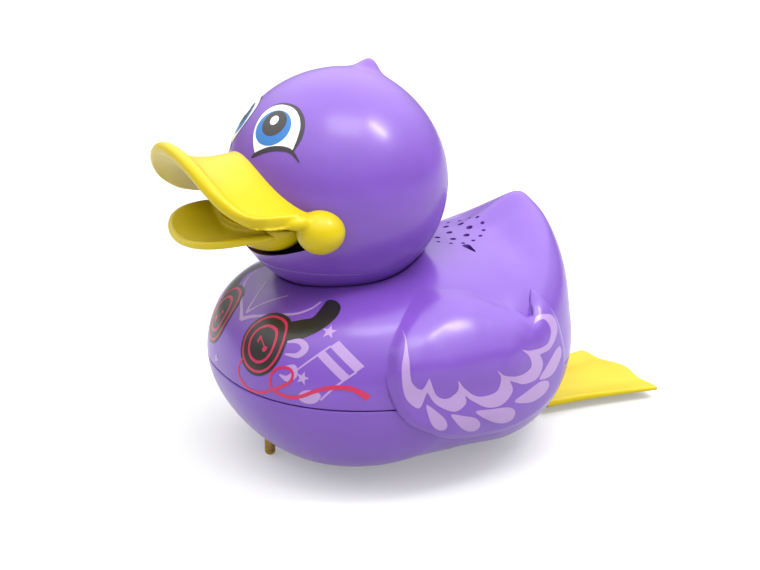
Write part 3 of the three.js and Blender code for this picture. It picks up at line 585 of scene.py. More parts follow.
# how far each of the last rows is from a shell's edge, and how far it is drawn in to round the edge
SEAM_LIP = ((0.5, 0.0), (0.25, 0.03), (0.1, 0.1), (0.0, 0.25))
PARTING_LIP = ((0.6, 0.0), (0.35, 0.02), (0.18, 0.08), (0.06, 0.18), (0.0, 0.3))


def wall_row(fall, grow, pole, side):
    """A row of the body's surface, each point at an angle from the pole towards its side."""
    d = np.cos(fall)[:, None] * pole + np.sin(fall)[:, None] * side
    return BODY_CENTRE + d * (body_radius(d) + grow)[:, None]


def outer_wall(wall, edge, end, fine, count):
    """Rows of an outer face, from a rounded corner to the seam, where its lip draws in a little."""
    start = edge + fine[-1] / EDGE_R
    rows = [wall(edge + s / EDGE_R, 0) for s in fine]
    rows += [wall(start + (end - start) * k, 0) for k in np.linspace(0, 1, count)[1:-1]]
    return rows + [wall(end - s / SEAM_R, -drop) for s, drop in SEAM_LIP]


def upper_shell():
    """The body above the seam: the bowl that the head sits in, the outer face and the inner face."""
    side = fan(BODY_COLUMNS, ACROSS, AWAY)
    seam_fall = np.arctan2(POLE[2], -side[:, 2])

    def bowl(fall, r):
        return HEAD_CENTRE + r * (np.sin(fall)[:, None] * side - np.cos(fall)[:, None] * POLE)

    def wall(fall, grow):
        return wall_row(fall, grow, POLE, side)

    def rim(r, grow):
        bowl_fall = crossing(lambda b: outside_body(bowl(b, r)) < grow, 0, 2.2, BODY_COLUMNS)
        q = unit(bowl(bowl_fall, r) - BODY_CENTRE)
        return bowl_fall, np.arctan2(np.sum(q * side, -1), q @ POLE)

    r = HEAD_R + BOWL_GAP
    bowl_end, wall_start = rim(r, 0)
    fine = 0.25 * np.arange(1, FINE_ROWS + 1)
    rows = [bowl(bowl_end * k, r) for k in np.linspace(0, 0.93, ROWS["bowl"])]
    rows += [bowl(bowl_end - s / r, r) for s in fine[::-1]]
    rows.append(bowl(bowl_end, r))
    corner = len(rows) - 1
    rows += outer_wall(wall, wall_start, seam_fall, fine, ROWS["upper"])
    grid = ease_rows(np.stack(rows), corner)
    inner_bowl_end, inner_start = rim(r + WALL, -WALL)
    inside = np.linspace(0, 1, ROWS["inside"])
    inner = [wall(seam_fall + (inner_start - seam_fall) * k, -WALL) for k in inside]
    inner += [bowl(inner_bowl_end * k, r + WALL) for k in np.linspace(1, 0, ROWS["inner_bowl"])[1:]]
    shell = skin("upper_shell", list(grid) + inner, PURPLE, SHARP)
    carve(shell, grille_cutter())
    return place(shell, "body", "body_upper_shell", slot="purple_plastic")


def grille_point(u, v, w=0.0):
    """A place on the back: u to the duck's left, v along the slope, w out of the surface."""
    middle, behind, before = (on_body(BODY_CENTRE + backwards(GRILLE["angle"] + a)) for a in (0, -5, 9))
    along = unit(behind - before)
    return middle + u * ACROSS + v * along + w * np.cross(ACROSS, along)


def grille_cutter():
    """The speaker's holes, the microphone's slot and the hole for the neck, as one cutter."""
    up = grille_point(0, 0, 1) - grille_point(0, 0)
    cutters = []
    for count, ring_r, hole_r in GRILLE["rings"]:
        for k in range(count):
            turn = 2 * math.pi * (k + 0.5) / count
            centre = grille_point(ring_r * math.cos(turn), ring_r * math.sin(turn))
            cutters.append(rod("drill", hole_r, -7, 7, centre, DARK, 24, up))
    middle = np.array([13, -2])
    drop = spline(MICROPHONE_SLOT, 48, closed=True)
    rows = [np.array([grille_point(*(middle + (p - middle) * k), w) for p in drop])
            for k, w in ((0, -8), (1, -8), (1, 6), (0, 6))]
    cutters.append(skin("slot", rows, DARK))
    cutters.append(rod("neck", NECK_HOLE, -8, 6, (0, SWIVEL_Y, 45), DARK, 64))
    return join("grille_cutter", cutters)


# ---- hull ----
def hull():
    """The body below the seam, with a flat bottom to stand on."""
    down = np.array([0.0, 0.0, -1.0])
    side = fan(BODY_COLUMNS, ACROSS, BEHIND)

    def wall(fall, grow):
        return wall_row(fall, grow, down, side)

    def floor_end(z, grow):
        return crossing(lambda fall: wall(fall, grow)[:, 2] < z, 0.1, math.pi / 2, BODY_COLUMNS)

    def floor(fall, z, k):
        reach = (BODY_CENTRE[2] - z) * np.tan(fall)
        return np.array([0, 0, z]) + side * (reach * k)[:, None]

    edge = floor_end(0, 0)
    top = np.full(BODY_COLUMNS, math.pi / 2 - (SEAM_Z - HULL_TOP) / SEAM_R)
    fine = 0.3 * np.arange(1, FINE_ROWS + 1)
    rows = [floor(edge, 0, k) for k in np.linspace(0, 1, ROWS["floor"])]
    corner = len(rows) - 1
    rows += outer_wall(wall, edge, top, fine, ROWS["hull"])
    grid = ease_rows(np.stack(rows), corner)
    inner_edge = floor_end(WALL, -WALL)
    inside = np.linspace(0, 1, ROWS["inside"])
    inner = [wall(top + (inner_edge - top) * k, -WALL) for k in inside]
    inner += [floor(inner_edge, WALL, k) for k in np.linspace(1, 0, ROWS["inner_floor"])[1:]]
    shell = skin("hull", list(grid) + inner, PURPLE, SHARP)
    carve(shell, hull_additions(), "UNION")
    carve(shell, hull_cutter())
    return place(shell, "body", "hull_shell", slot="purple_plastic")


def hull_height(x, y, r):
    """The highest place on the underside within a circle around (x, y)."""
    turn = np.linspace(0, 2 * math.pi, 24)

    def is_inside(fall):
        return outside_body(np.stack([x + r * np.cos(turn), y + r * np.sin(turn), SEAM_Z - fall], -1)) < 0

    return SEAM_Z - crossing(is_inside, 0, SEAM_Z, len(turn)).min()


def hull_additions():
    """Screw posts, flipper lugs and rear foot bosses, as one body to join on."""
    pieces = []
    for x, y in POST_PLACES:
        low = hull_height(x, y, POST_R) + WALL / 4
        pieces.append(rod("post", POST_R, low, HULL_TOP - 0.4, (x, y, 0), PURPLE))
    ring = spline(np.array(LUG["outline"]) + FLIPPER_AXIS[1:], 48, closed=True)
    middle = ring.mean(0)
    half, flat = LUG["half"], LUG["half"] - LUG["edge"]
    across = ((0, -half), (0.9, -half), (1, -flat), (1, flat), (0.9, half), (0, half))
    for side in (-1, 1):
        rows = [np.column_stack([np.full(48, side * LUG["x"] + w), middle + (ring - middle) * k])
                for k, w in across]
        pieces.append(skin("lug", rows, PURPLE))
    foot_x, foot_y = foot_places()["rear_foot_left"]
    r, low, high = BOSS["r"], BOSS["low"], BOSS["high"]
    for side in (-1, 1):
        profile = [(0, low), (r - 0.6, low), (r, low + 0.5), (r, high), (0, high)]
        pieces.append(turned("boss", profile, (side * abs(foot_x), foot_y, 0), PURPLE))
    return join("hull_additions", pieces)


def foot_places():
    return {name: (sum(cad(name)) / 2)[:2] for name in ("front_foot", "rear_foot_left", "rear_foot_right")}


def hull_cutter():
    """Openings in the underside: battery bay, switch slot, screw wells and foot holes."""
    bay_high = [DOOR_HIGH[0] + FIT, DOOR_HIGH[1] + FIT, 2.8]
    slot_low = [SWITCH_LOW[0] - FIT, SWITCH_LOW[1] - 0.5, -1]
    slot_high = [SWITCH_HIGH[0] + FIT, SWITCH_HIGH[1] + SWITCH_TRAVEL + 0.5, 3.2]
    cutters = [brick("bay", DOOR_LOW - [FIT, FIT, 1], bay_high, DARK)]
    cutters.append(brick("slot", slot_low, slot_high, DARK))
    end = HULL_TOP + 1
    for x, y in POST_PLACES:
        well = [(0, -1), (3.1, -1), (2.7, 0.4), (2.7, 9.2), (1.4, 9.2), (1.4, end), (0, end)]
        cutters.append(turned("well", well, (x, y, 0), DARK))
    for x, y in foot_places().values():
        cutters.append(rod("foot_hole", FOOT_R + 0.2, -3, 12, (x, y, 0), DARK, 32))
    cutters.append(rod("pin_bore", FLIPPER["pin_r"], -12, 12, FLIPPER_AXIS * [0, 1, 1], DARK, 24, ACROSS))
    return join("hull_cutter", cutters)


def feet():
    """Three turned contact pegs with domed tips."""
    dome = [(FOOT_R * math.sin(a), FOOT_R * (1 - math.cos(a)) * 0.8) for a in np.linspace(0, math.pi / 2, 10)]
    for name, (x, y) in foot_places().items():
        low, high = cad(name)
        length = high[2] - low[2]
        groove = [(FOOT_R, 1.7), (FOOT_R - 0.12, 1.8), (FOOT_R - 0.12, 2.0), (FOOT_R, 2.1)]
        profile = dome + groove + [(FOOT_R, length - 0.2), (FOOT_R - 0.2, length), (0, length)]
        place(turned(f"{name}_peg", profile, (x, y, low[2]), BRASS, 40), "body", name, slot="contact_brass")


# ---- head ----
HEAD_COLUMNS = 300
FACE_ROWS, NAPE_ROWS = 170, 110
HEAD_POLE = unit([0, -PARTING["drop"], 52])
HEAD_BACK = np.cross(HEAD_POLE, ACROSS)


def under_parting(p):
    """How far below the parting line each point is."""
    y = p[..., 1]
    along = np.clip((y - PARTING["y"]) / PARTING["run"], 0, 1)
    return PARTING["z"] - PARTING["drop"] * np.sqrt(1 - along**2) - p[..., 2]


def head_row(fall, grow):
    """A row of the head's surface, each point at an angle from the pole."""
    side = fan(HEAD_COLUMNS, ACROSS, HEAD_BACK)
    d = np.cos(fall)[:, None] * HEAD_POLE + np.sin(fall)[:, None] * side
    return HEAD_CENTRE + d * (head_radius(d) + grow)[:, None]


def parting_fall():
    """The angle from the pole at which the parting line runs, in each column."""
    fall = crossing(lambda at: under_parting(head_row(at, 0)) < 0, 0.2, math.pi - 0.2, HEAD_COLUMNS)
    for _ in range(6):
        fall = fall / 2 + (np.roll(fall, 1) + np.roll(fall, -1)) / 4
    return fall


def half_head(name, edge, pole_fall, rows, material):
    """One shell of the head, from its pole to its edge at the parting line and back inside."""
    toward = np.sign(edge - pole_fall)
    outer = [head_row(pole_fall + (edge - pole_fall) * k, 0) for k in np.linspace(0, 1, rows)[:-1]]
    outer += [head_row(edge - toward * away / HEAD_R, -drop) for away, drop in PARTING_LIP]
    inner = [head_row(edge + (pole_fall - edge) * k, -WALL) for k in np.linspace(0, 1, 40)]
    return skin(name, outer + inner, material, SHARP)


def mouth_cutter():
    """The opening of the mouth, as a prism that runs forwards."""
    t = np.linspace(0, 1, 24)[:, None]

    def arc(half, end_z, middle_z):
        a, c, b = np.array([(-half, end_z), (0, 2 * middle_z - end_z), (half, end_z)])
        return (1 - t) ** 2 * a + 2 * t * (1 - t) * c + t**2 * b

    low = arc(MOUTH["half"], MOUTH["corner_z"], MOUTH["lip_z"])
    high = arc(-MOUTH["half"], MOUTH["top_z"], MOUTH["crown_z"])
    ring = np.vstack([low, high])
    middle = ring.mean(0)
    rows = []
    back, front = MOUTH["ends"]
    for k, y in ((0, back), (1, back), (1, front), (0, front)):
        at = middle + (ring - middle) * k
        rows.append(np.column_stack([at[:, 0], np.full(len(at), y), at[:, 1]]))
    return skin("mouth", rows, DARK)


def head():
    """The face with the mouth's opening, and the nape with the spigot that turns in the neck."""
    edge = parting_fall()
    gap = PARTING["gap"] / 2 / HEAD_R
    face = half_head("head_face", edge - gap, 0.0, FACE_ROWS, PURPLE)
    carve(face, mouth_cutter())
    place(face, "head", "head_face_shell", slot="purple_plastic")
    nape = half_head("head_nape", edge + gap, math.pi, NAPE_ROWS, PURPLE)
    low = cad("head_nape_shell")[0][2]
    bore, r, edge_r, top = (SPIGOT[k] for k in ("bore", "r", "edge", "top"))
    profile = [(bore, low), (r - edge_r, low), (r, low + edge_r), (r, top), (bore, top), (bore, low)]
    spigot = turned("spigot", profile, (0, SWIVEL_Y, 0), PURPLE)
    nape = join("head_nape", [nape, spigot])
    nape.data.set_sharp_from_angle(angle=math.radians(SHARP))
    place(nape, "head", "head_nape_shell", slot="purple_plastic")


# ---- bills ----
def rounded_sheet(name, middle, half_thick, edge_distance, material, closed=False):
    """A sheet on both sides of a middle surface, its edge rounded off to a half circle."""
    down = np.gradient(middle, axis=0)
    if closed:
        over = (np.roll(middle, -1, 1) - np.roll(middle, 1, 1)) / 2
    else:
        over = np.gradient(middle, axis=1)
    normal = unit(np.cross(over, down) + 1e-12)
    normal *= np.sign(np.sum(normal[..., 2]))
    rounding = np.sqrt(1 - (1 - np.clip(edge_distance / half_thick, 0, 1)) ** 2)
    offset = normal * (half_thick * np.maximum(rounding, 0.03))[..., None]
    return slab(name, middle + offset, middle - offset, material, closed)


# how square each bill's rim is across, how blunt it is in front and how sharply it rises there
UPPER_BILL_POWERS = (0.9, 0.3, 1.36)
LOWER_BILL_POWERS = (0.9, 0.46, 1.45)


def upper_bill_sheet():
    """The upper bill from its root on the face out to its rim, sagging between them."""
    b = UPPER_BILL
    w = np.linspace(-1, 1, 261)
    # the points are closer together towards the cheeks, where the rim turns fast
    t = np.sign(w) * math.pi / 2 * (1 - (1 - np.abs(w)) ** 3.3)
    c, s = np.maximum(np.cos(t), 0), np.sin(t)
    across, front, up = UPPER_BILL_POWERS
    rim_x, rim_y = b["half"] * np.sign(s) * np.abs(s) ** across, b["back"] - b["reach"] * c**front
    rim = np.column_stack([rim_x, rim_y, b["edge_z"] + b["rise"] * c**up])
    root_x, root_z = b["root_half"] * s, b["root_z"] + b["root_rise"] * c**3
    root_y = SWIVEL_Y - np.sqrt(HEAD_R**2 - root_x**2 - (root_z - HEAD_CENTRE[2]) ** 2)
    root = np.column_stack([root_x, root_y + b["sunk"], root_z])
    v = (1 - (1 - np.linspace(0, 1, 72)) ** 1.7)[:, None, None]
    middle = root * (1 - v) + rim * v
    middle[..., 2] -= b["sag"] * np.sin(math.pi * v[..., 0]) * c + b["thick"] / 2
    bead = soft_step(1.25 - rim_distance(middle) / b["bead_width"])
    middle[..., 2] += b["bead"] * bead
    half_thick = b["thick"] / 2 + b["bead"] / 2 * bead
    return rounded_sheet("bill_sheet", middle, half_thick, rim_distance(middle), YELLOW)


def rim_distance(middle):
    """How far each point is from the last one in its column."""
    return np.linalg.norm(middle[-1] - middle, axis=-1)


def ball(name, centre, radii, material):
    """An ellipsoid with three radii."""
    fall = np.linspace(0, math.pi, BALL_ROWS)
    side = fan(BALL_COLUMNS, ACROSS, BEHIND)
    rows = [np.asarray(centre) + (math.cos(f) * UP + math.sin(f) * side) * np.asarray(radii) for f in fall]
    return skin(name, rows, material)


def cheek_place(side):
    return (side * CHEEK["x"], JAW[1], JAW[2])


def upper_bill():
    """The sheet, a round cheek over each jaw pin and the neck that joins it to the rim."""
    pieces = [upper_bill_sheet()]
    neck_x, behind, above = CHEEK["neck"]
    for side in (-1, 1):
        pieces.append(ball("cheek", cheek_place(side), CHEEK["radii"], YELLOW))
        neck = (side * neck_x, JAW[1] + behind, JAW[2] + above)
        pieces.append(ball("cheek_neck", neck, CHEEK["neck_radii"], YELLOW))
    bill = join("upper_bill_skin", pieces)
    melt(bill, UPPER_BILL["melt"])
    place(bill, "head", "upper_bill", slot="yellow_plastic")


def spoon():
    """The dished blade of the lower bill, from its middle out to its rim."""
    b = LOWER_BILL
    t = np.concatenate([np.linspace(1.52, 0.01, 70), -np.linspace(0.01, 1.52, 70)])
    c = np.cos(t)
    across, front, up = LOWER_BILL_POWERS
    edge_x = b["half"] * np.sign(t) * np.abs(np.sin(t)) ** across
    edge = np.column_stack([edge_x, b["back"] - b["reach"] * c**front])
    centre = np.array([0.0, b["back"] - 0.45 * b["reach"]])
    k = (1 - (1 - np.linspace(0, 1, 60)) ** 1.7)[:, None, None]
    flat = centre + (edge - centre) * k
    deep = np.clip((b["back"] - flat[..., 1]) / b["reach"], 0.0, 1) ** (1 / front)
    wide = np.sqrt(1 - deep**2)
    w = np.clip(flat[..., 0] / (b["half"] * np.maximum(wide, 0.05) ** across), -1, 1)
    z = b["back_z"] - b["drop"] * deep**up - b["dish"] * (1 - w * w) * wide - b["thick"] / 2
    middle = np.concatenate([flat, z[..., None]], -1)
    middle[0] = middle[0].mean(0)
    distance = rim_distance(middle)
    half_thick = np.full(distance.shape, b["thick"] / 2)
    return rounded_sheet("spoon", middle, half_thick, distance, YELLOW, closed=True)


def lower_bill():
    """The blade, cut clear of the head and the cheeks, with the hollow belly that fills the mouth."""
    blade = spoon()
    clear = LOWER_BILL["clear"]
    carve(blade, ball("clear", HEAD_CENTRE, (HEAD_R + clear,) * 3, YELLOW))
    for side in (-1, 1):
        carve(blade, ball("clear", cheek_place(side), (CHEEK["radii"][0] + clear,) * 3, YELLOW))
    outer = np.array(BELLY["half"])
    centre = (0, BELLY["y"], BELLY["z"])
    belly = ball("belly", centre, outer, YELLOW)
    carve(belly, brick("lid", (-40, -80, BELLY["lid_z"]), (40, 0, 100), YELLOW))
    bill = join("lower_bill_skin", [blade, belly])
    melt(bill, LOWER_BILL["melt"])
    carve(bill, ball("hollow", centre, outer - WALL, YELLOW))
    place(bill, "lower_jaw", "lower_bill", slot="yellow_plastic")


# ---- wings ----
WING_OUTLINE = [
    (-20.9, 42.1), (-14.9, 47.0), (-6.5, 50.5), (-0.2, 50.8), (6, 49.7), (13, 46.7), (19.9, 42.8),
    (22.4, 46.0), (24.9, 47.9), (27, 46.0), (29.8, 41.2), (32, 36.2), (33.6, 31.2), (33.6, 25.4),
    (29.6, 18.4), (19.2, 14.0), (6.2, 12.6), (-5, 14.2), (-13, 18.0), (-18.5, 21.2), (-22, 26.2),
    (-23.6, 32.2), (-23.1, 37.2),
]
WING_MIDDLE = np.array([12.0, 30.0])
WING = {"rim": 2.0, "rim_width": 2.6, "shoulder": 4.5, "shoulder_width": 5.5, "gap": 0.3, "sunk": 0.25,
        "melts_before": 20.0, "melts_above": 27.0, "melts_over": 12.0, "toe": 1.6,
        "dome": 0.6, "dome_middle": (2.0, 36.0), "dome_half": (27.0, 21.0), "dome_edge": 5.0, "inside": 0.2}


def distance_to(points, line):
    """Distance from each point to a closed line."""
    flat = points.reshape(-1, 2)
    near = np.full(len(flat), np.inf)
    for start, end in zip(line, np.roll(line, -1, 0)):
        run = end - start
        along = np.clip((flat - start) @ run / (run @ run), 0, 1)
        near = np.minimum(near, np.linalg.norm(flat - start - along[:, None] * run, axis=1))
    return near.reshape(points.shape[:-1])


def wing_top():
    """The left wing's outer face: the body's side, how far it stands out, and where on the side it is."""
    edge = spline(WING_OUTLINE, 320, closed=True)
    share = (1 - (1 - np.linspace(0, 1, 90)) ** 1.6)[:, None, None]
    yz = WING_MIDDLE + (edge - WING_MIDDLE) * share
    y, z = yz[..., 0], yz[..., 1]
    soft = soft_step((z - WING["melts_above"]) / WING["melts_over"])  # 1 where it melts into the shoulder
    soft = soft * soft_step((WING["melts_before"] - y) / WING["melts_over"])
    near = distance_to(yz, edge)

    def round_over(width):
        return np.sqrt(1 - (1 - np.clip(near / width, 0, 1)) ** 2)

    melted = WING["shoulder"] * round_over(WING["shoulder_width"]) * soft_step(near / WING["toe"])
    off = (yz - WING["dome_middle"]) / WING["dome_half"]
    whole = 1 - soft * (1 - soft_step(near / WING["dome_edge"]))
    dome = WING["dome"] * soft_step(1 - np.sum(off**2, -1) * 0.9) * whole
    height = (1 - soft) * WING["rim"] * round_over(WING["rim_width"]) + soft * melted + dome
    return body_side(yz) + WING["gap"] * (1 - soft) - WING["sunk"] * soft, yz, height


def wing(name, sign):
    """A wing that lies on the body's side: sign is 1 for the left one and -1 for the right one."""
    side, yz, height = wing_top()
    flip = np.array([sign, 1, 1])
    top = np.concatenate([(side + height)[..., None], yz], -1)
    bottom = np.concatenate([(side - WING["inside"])[..., None], yz], -1)
    obj = slab(f"{name}_skin", top * flip, bottom * flip, PURPLE, closed=True)
    return place(obj, "body", name, slot="purple_plastic")


def onto(obj):
    """A way to lay (y, z) points on the outer face of the left wing."""
    tree = BVHTree.FromObject(obj, bpy.context.evaluated_depsgraph_get())
    inwards = Vector((-1, 0, 0))

    def project(points, lift=0.0):
        flat = np.asarray(points, float)[..., -2:]
        laid = []
        for y, z in flat.reshape(-1, 2):
            spot, normal, _, _ = tree.ray_cast(Vector((100, y, z)) * MM, inwards)
            laid.append(np.array(spot) / MM + np.array(normal) * lift)
        return np.array(laid).reshape(*flat.shape[:-1], 3)

    return project


# ---- flipper ----
def flipper_plate(low, high):
    """The webbed plate: a ridge down its middle, beads along its sides and hollows between them."""
    f = FLIPPER
    front, tip, half = FLIPPER_AXIS[1] + f["front"], high[1], high[0]
    u = np.sin(np.linspace(-math.pi / 2, math.pi / 2, 120))
    v = (1 - (1 - np.linspace(0, 1, 90)) ** 1.5)[:, None]
    toes = f["toe"] * (np.cos(2 * math.pi * np.abs(u) ** 0.9) - 1) / 2 - f["bow"] * u**2
    y = front + (tip + toes - front) * v
    x = u * (f["root_half"] + (half - f["root_half"]) * v**1.3)
    ridge = 1.3 * bump(u, 0.34) * bump(v - 0.1, 0.5)
    beads = 0.5 * bump(np.abs(u) - 1, 0.16) * soft_step(v * 2)
    hollows = 0.8 * bump(np.abs(u) - 0.55, 0.24) * soft_step(v * 1.6)
    rise = ridge + beads - hollows - 0.9 * v**2 * np.abs(u) ** 3
    middle = np.stack([x, y, low[2] + f["middle_z"] + rise * (1 - 0.5 * v)], -1)
    half_thick = f["half_thick"] - f["thinner"] * soft_step(v) + 0 * u
    edge_distance = np.minimum((1 - np.abs(u)) * half, (1 - v) * (tip - front))
    return rounded_sheet("plate", middle, half_thick, edge_distance, YELLOW)


def flipper():
    """The plate with its barrel, bored for the pin."""
    plate = flipper_plate(*cad("flipper"))
    axis = FLIPPER_AXIS * [0, 1, 1]
    half, r, edge = FLIPPER["knuckle_half"], FLIPPER["knuckle_r"], FLIPPER["knuckle_edge"]
    barrel = [(0, -half), (r - edge, -half), (r, edge - half), (r, half - edge), (r - edge, half), (0, half)]
    carve(plate, turned("barrel", barrel, axis, YELLOW, 48, ACROSS), "UNION")
    carve(plate, ball("instep", axis + FLIPPER["instep"], FLIPPER["instep_radii"], YELLOW), "UNION")
    carve(plate, rod("pin", FLIPPER["pin_r"], -9, 9, axis, YELLOW, 32, ACROSS))
    place(plate, "rear_flipper", "flipper", slot="yellow_plastic")


# ---- prints ----
INK = 0.05  # how proud a print stands
LAYER = 0.035  # how much prouder each level above it stands
SUNK = -0.12  # where its hidden underside lies

# where a print lies: the way its points are laid on the surface, and the body that it rides on
ON_BODY = (on_body, "body")
ON_HEAD = (on_head, "head")


def print_grid(name, points, surface, material, level=0, flip=1, closed=False):
    """A print over a grid of points, laid on a surface."""
    project, body = surface
    lift = INK + LAYER * level
    mirror = np.array([flip, 1, 1])
    top, bottom = project(points, lift) * mirror, project(points, SUNK) * mirror
    return place(slab(name, top, bottom, material, closed, FINE_SHARP), body)


def patch(name, outline, surface, material, count=96, level=0, flip=1, curved=True):
    """A filled print inside a closed outline."""
    ring = spline(outline, count, closed=True) if curved else resample(outline, count)
    middle = ring.mean(0)
    points = np.stack([middle + (ring - middle) * k for k in np.linspace(0, 1, 12)])
    return print_grid(name, points, surface, material, level, flip, closed=True)


def resample(outline, count):
    """Points spread along a closed outline with straight sides, its corners kept."""
    p = np.asarray(outline, float)
    each = count // len(p)
    t = np.arange(each)[:, None] / each
    return np.vstack([a + (b - a) * t for a, b in zip(p, np.roll(p, -1, 0))])


def band(name, inner, outer, surface, material, level=0, flip=1, closed=False):
    """A print between two curves of as many points each."""
    points = np.stack([inner + (outer - inner) * k for k in np.linspace(0, 1, 5)])
    return print_grid(name, points, surface, material, level, flip, closed)


def stroke(name, line, widths, surface, material, count=80, level=0, flip=1):
    """A print along a curve, as wide as widths says along it."""
    project = surface[0]
    p = spline(line, count)
    w = np.interp(np.linspace(0, 1, count), np.linspace(0, 1, len(widths)), widths)[:, None] / 2
    flat = project(p)
    side = unit(np.cross(np.gradient(flat, axis=0), project(p, 1.0) - flat))
    points = np.stack([flat + side * w * k for k in (-1, -0.5, 0, 0.5, 1)])
    return print_grid(name, points, surface, material, level, flip)


STAR_WAIST = 0.42  # how far in its inner corners are, as a share of the points' reach


def star(name, centre, r, surface, material, turn=0.0):
    """A five-pointed star in the plane that faces out at its centre."""
    project = surface[0]
    centre = np.array(centre, float)
    first = unit(np.cross(UP, project(centre[None], 1.0)[0] - project(centre[None])[0]))
    corners = []
    for k in range(10):
        a = turn + math.pi * k / 5
        reach = r if k % 2 == 0 else STAR_WAIST * r
        corners.append(centre + reach * (math.sin(a) * first + math.cos(a) * UP))
    return patch(name, corners, surface, material, 60, curved=False)


# the pair of headphones is printed about a line a little to the duck's left of the middle
PRINT_MIDDLE = 3.2


def keep(points):
    return points


def swap(points):
    """Points of the chest print carried over to its other half."""
    return [(2 * PRINT_MIDDLE - x, y, z) for x, y, z in points]


HALVES = (("near", keep), ("far", swap))
CUP = [
    (19.4, -40.0, 44.6), (14.0, -42.0, 45.4), (10.2, -44.6, 43.2), (8.6, -47.2, 39.2), (9.8, -49.2, 34.4),
    (13.0, -49.6, 31.2), (17.6, -48.4, 30.2), (21.4, -46.4, 32.0), (23.2, -44.0, 36.0), (22.4, -41.4, 41.0),
]
HEADBAND = [
    (20.0, -40.2, 44.0), (22.4, -38.2, 44.6), (23.6, -35.4, 46.2), (22.6, -33.0, 48.2), (21.4, -31.0, 49.8),
    (23.4, -29.4, 49.8), (25.8, -29.0, 48.4), (27.6, -30.8, 46.6), (27.9, -33.9, 44.4), (26.4, -37.6, 42.0),
    (23.0, -41.6, 39.8),
]


def headphones(name, change):
    """One ear cup with its ring lines and a quaver, and its half of the headband."""
    cup = spline(change(CUP), 96, closed=True)
    middle = cup.mean(0)
    patch(f"{name}_band", change(HEADBAND), ON_BODY, BLACK)
    patch(f"{name}_cup", change(CUP), ON_BODY, BLACK, level=1)
    for k, (outer, inner) in enumerate(((0.9, 0.82), (0.6, 0.51))):
        edges = [middle + (cup - middle) * share for share in (inner, outer)]
        band(f"{name}_ring_{k}", *edges, ON_BODY, PINK, level=2, closed=True)
    across = unit(cup[0] - middle)
    up = unit(UP - across * across[2])
    side = unit(np.cross(up, middle - BODY_CENTRE))
    stem = [middle + side * 0.7 - up * 2.2, middle + side * 0.5 + up * 2.8]
    stroke(f"{name}_quaver_stem", stem, (0.32, 0.32), ON_BODY, PINK, 24, level=2)
    flag = [stem[1] - side * a - up * b for a, b in ((0, 0), (0.5, 0.8), (1.2, 1.0), (1.0, 1.9))]
    stroke(f"{name}_quaver_flag", flag, (0.4, 0.6, 0.4, 0.1), ON_BODY, PINK, 24, level=2)
    turn = np.linspace(0, 2 * math.pi, 10, endpoint=False)
    note = [stem[0] + side * (0.85 * math.cos(a) - 0.2) + up * 0.75 * math.sin(a) for a in turn]
    patch(f"{name}_quaver_head", note, ON_BODY, PINK, 40, level=2)


def chest_prints():
    """Headphones, collar lines, cable, stars and notes."""
    for name, change in HALVES:
        headphones(name, change)
    collar = [
        (3.2, -46.8, 40.8), (6.4, -45.8, 42.4), (10.4, -44.0, 43.6), (15.0, -41.2, 44.8),
        (19.1, -38.2, 46.0), (20.9, -35.2, 47.6), (20.7, -32.6, 49.2),
    ]
    inner = [(3.2, -46.0, 42.6), (6.1, -42.5, 45.8), (10.3, -37.5, 48.6)]
    for name, change in HALVES:
        stroke(f"{name}_collar", change(collar), (1.4, 0.8, 0.7, 0.7, 0.6), ON_BODY, LAVENDER)
        stroke(f"{name}_collar_inner", change(inner), (0.9, 0.6, 0.5), ON_BODY, LAVENDER)
    cable = [
        (11.4, -49.3, 33.0), (10.4, -50.3, 29.4), (13.6, -49.9, 26.4), (18.4, -48.4, 26.0),
        (22.9, -46.4, 27.8), (27.0, -43.3, 30.8), (27.3, -42.4, 33.2), (25.6, -43.1, 34.3),
        (23.1, -44.9, 33.3), (22.2, -46.2, 31.0), (23.0, -46.3, 28.4), (26.2, -44.4, 27.2),
        (29.7, -41.6, 27.8), (32.6, -38.6, 29.8), (35.2, -35.0, 31.0), (37.5, -31.7, 31.0),
        (38.8, -29.4, 29.9), (39.9, -27.7, 28.6),
    ]
    widths = (0.5, 0.7, 0.8, 0.8, 0.8, 0.8, 0.7, 0.7, 0.7, 0.7, 0.8, 0.9, 0.9, 1.0, 1.1, 1.2, 1.4, 1.7)
    stroke("cable", cable, widths, ON_BODY, PINK, 160, level=1)
    star("star_shoulder", (29.4, -33.5, 43.5), 2.0, ON_BODY, LAVENDER)
    star("star_side", (29.6, -40.8, 32.5), 1.8, ON_BODY, LAVENDER, 0.2)
    star("star_front", (-3.7, -51.1, 28.0), 1.8, ON_BODY, LAVENDER, 0.2)
    crescent = [
        (22.9, -41.9, 40.0), (25.4, -39.6, 40.6), (27.4, -39.0, 39.4), (26.8, -40.8, 37.6),
        (23.8, -42.8, 37.2),
    ]
    stroke("crescent", crescent, (0.5, 1.4, 2.0, 1.4, 0.4), ON_BODY, LAVENDER, 48)
    loop = [
        (25.2, -43.4, 34.5), (27.0, -41.9, 34.6), (27.6, -42.2, 33.0), (26.3, -43.5, 31.7),
        (24.4, -44.8, 32.3),
    ]
    stroke("small_note_head", loop, (0.4, 1.5, 1.9, 1.5, 0.4), ON_BODY, LAVENDER, 48)
    beamed_note()


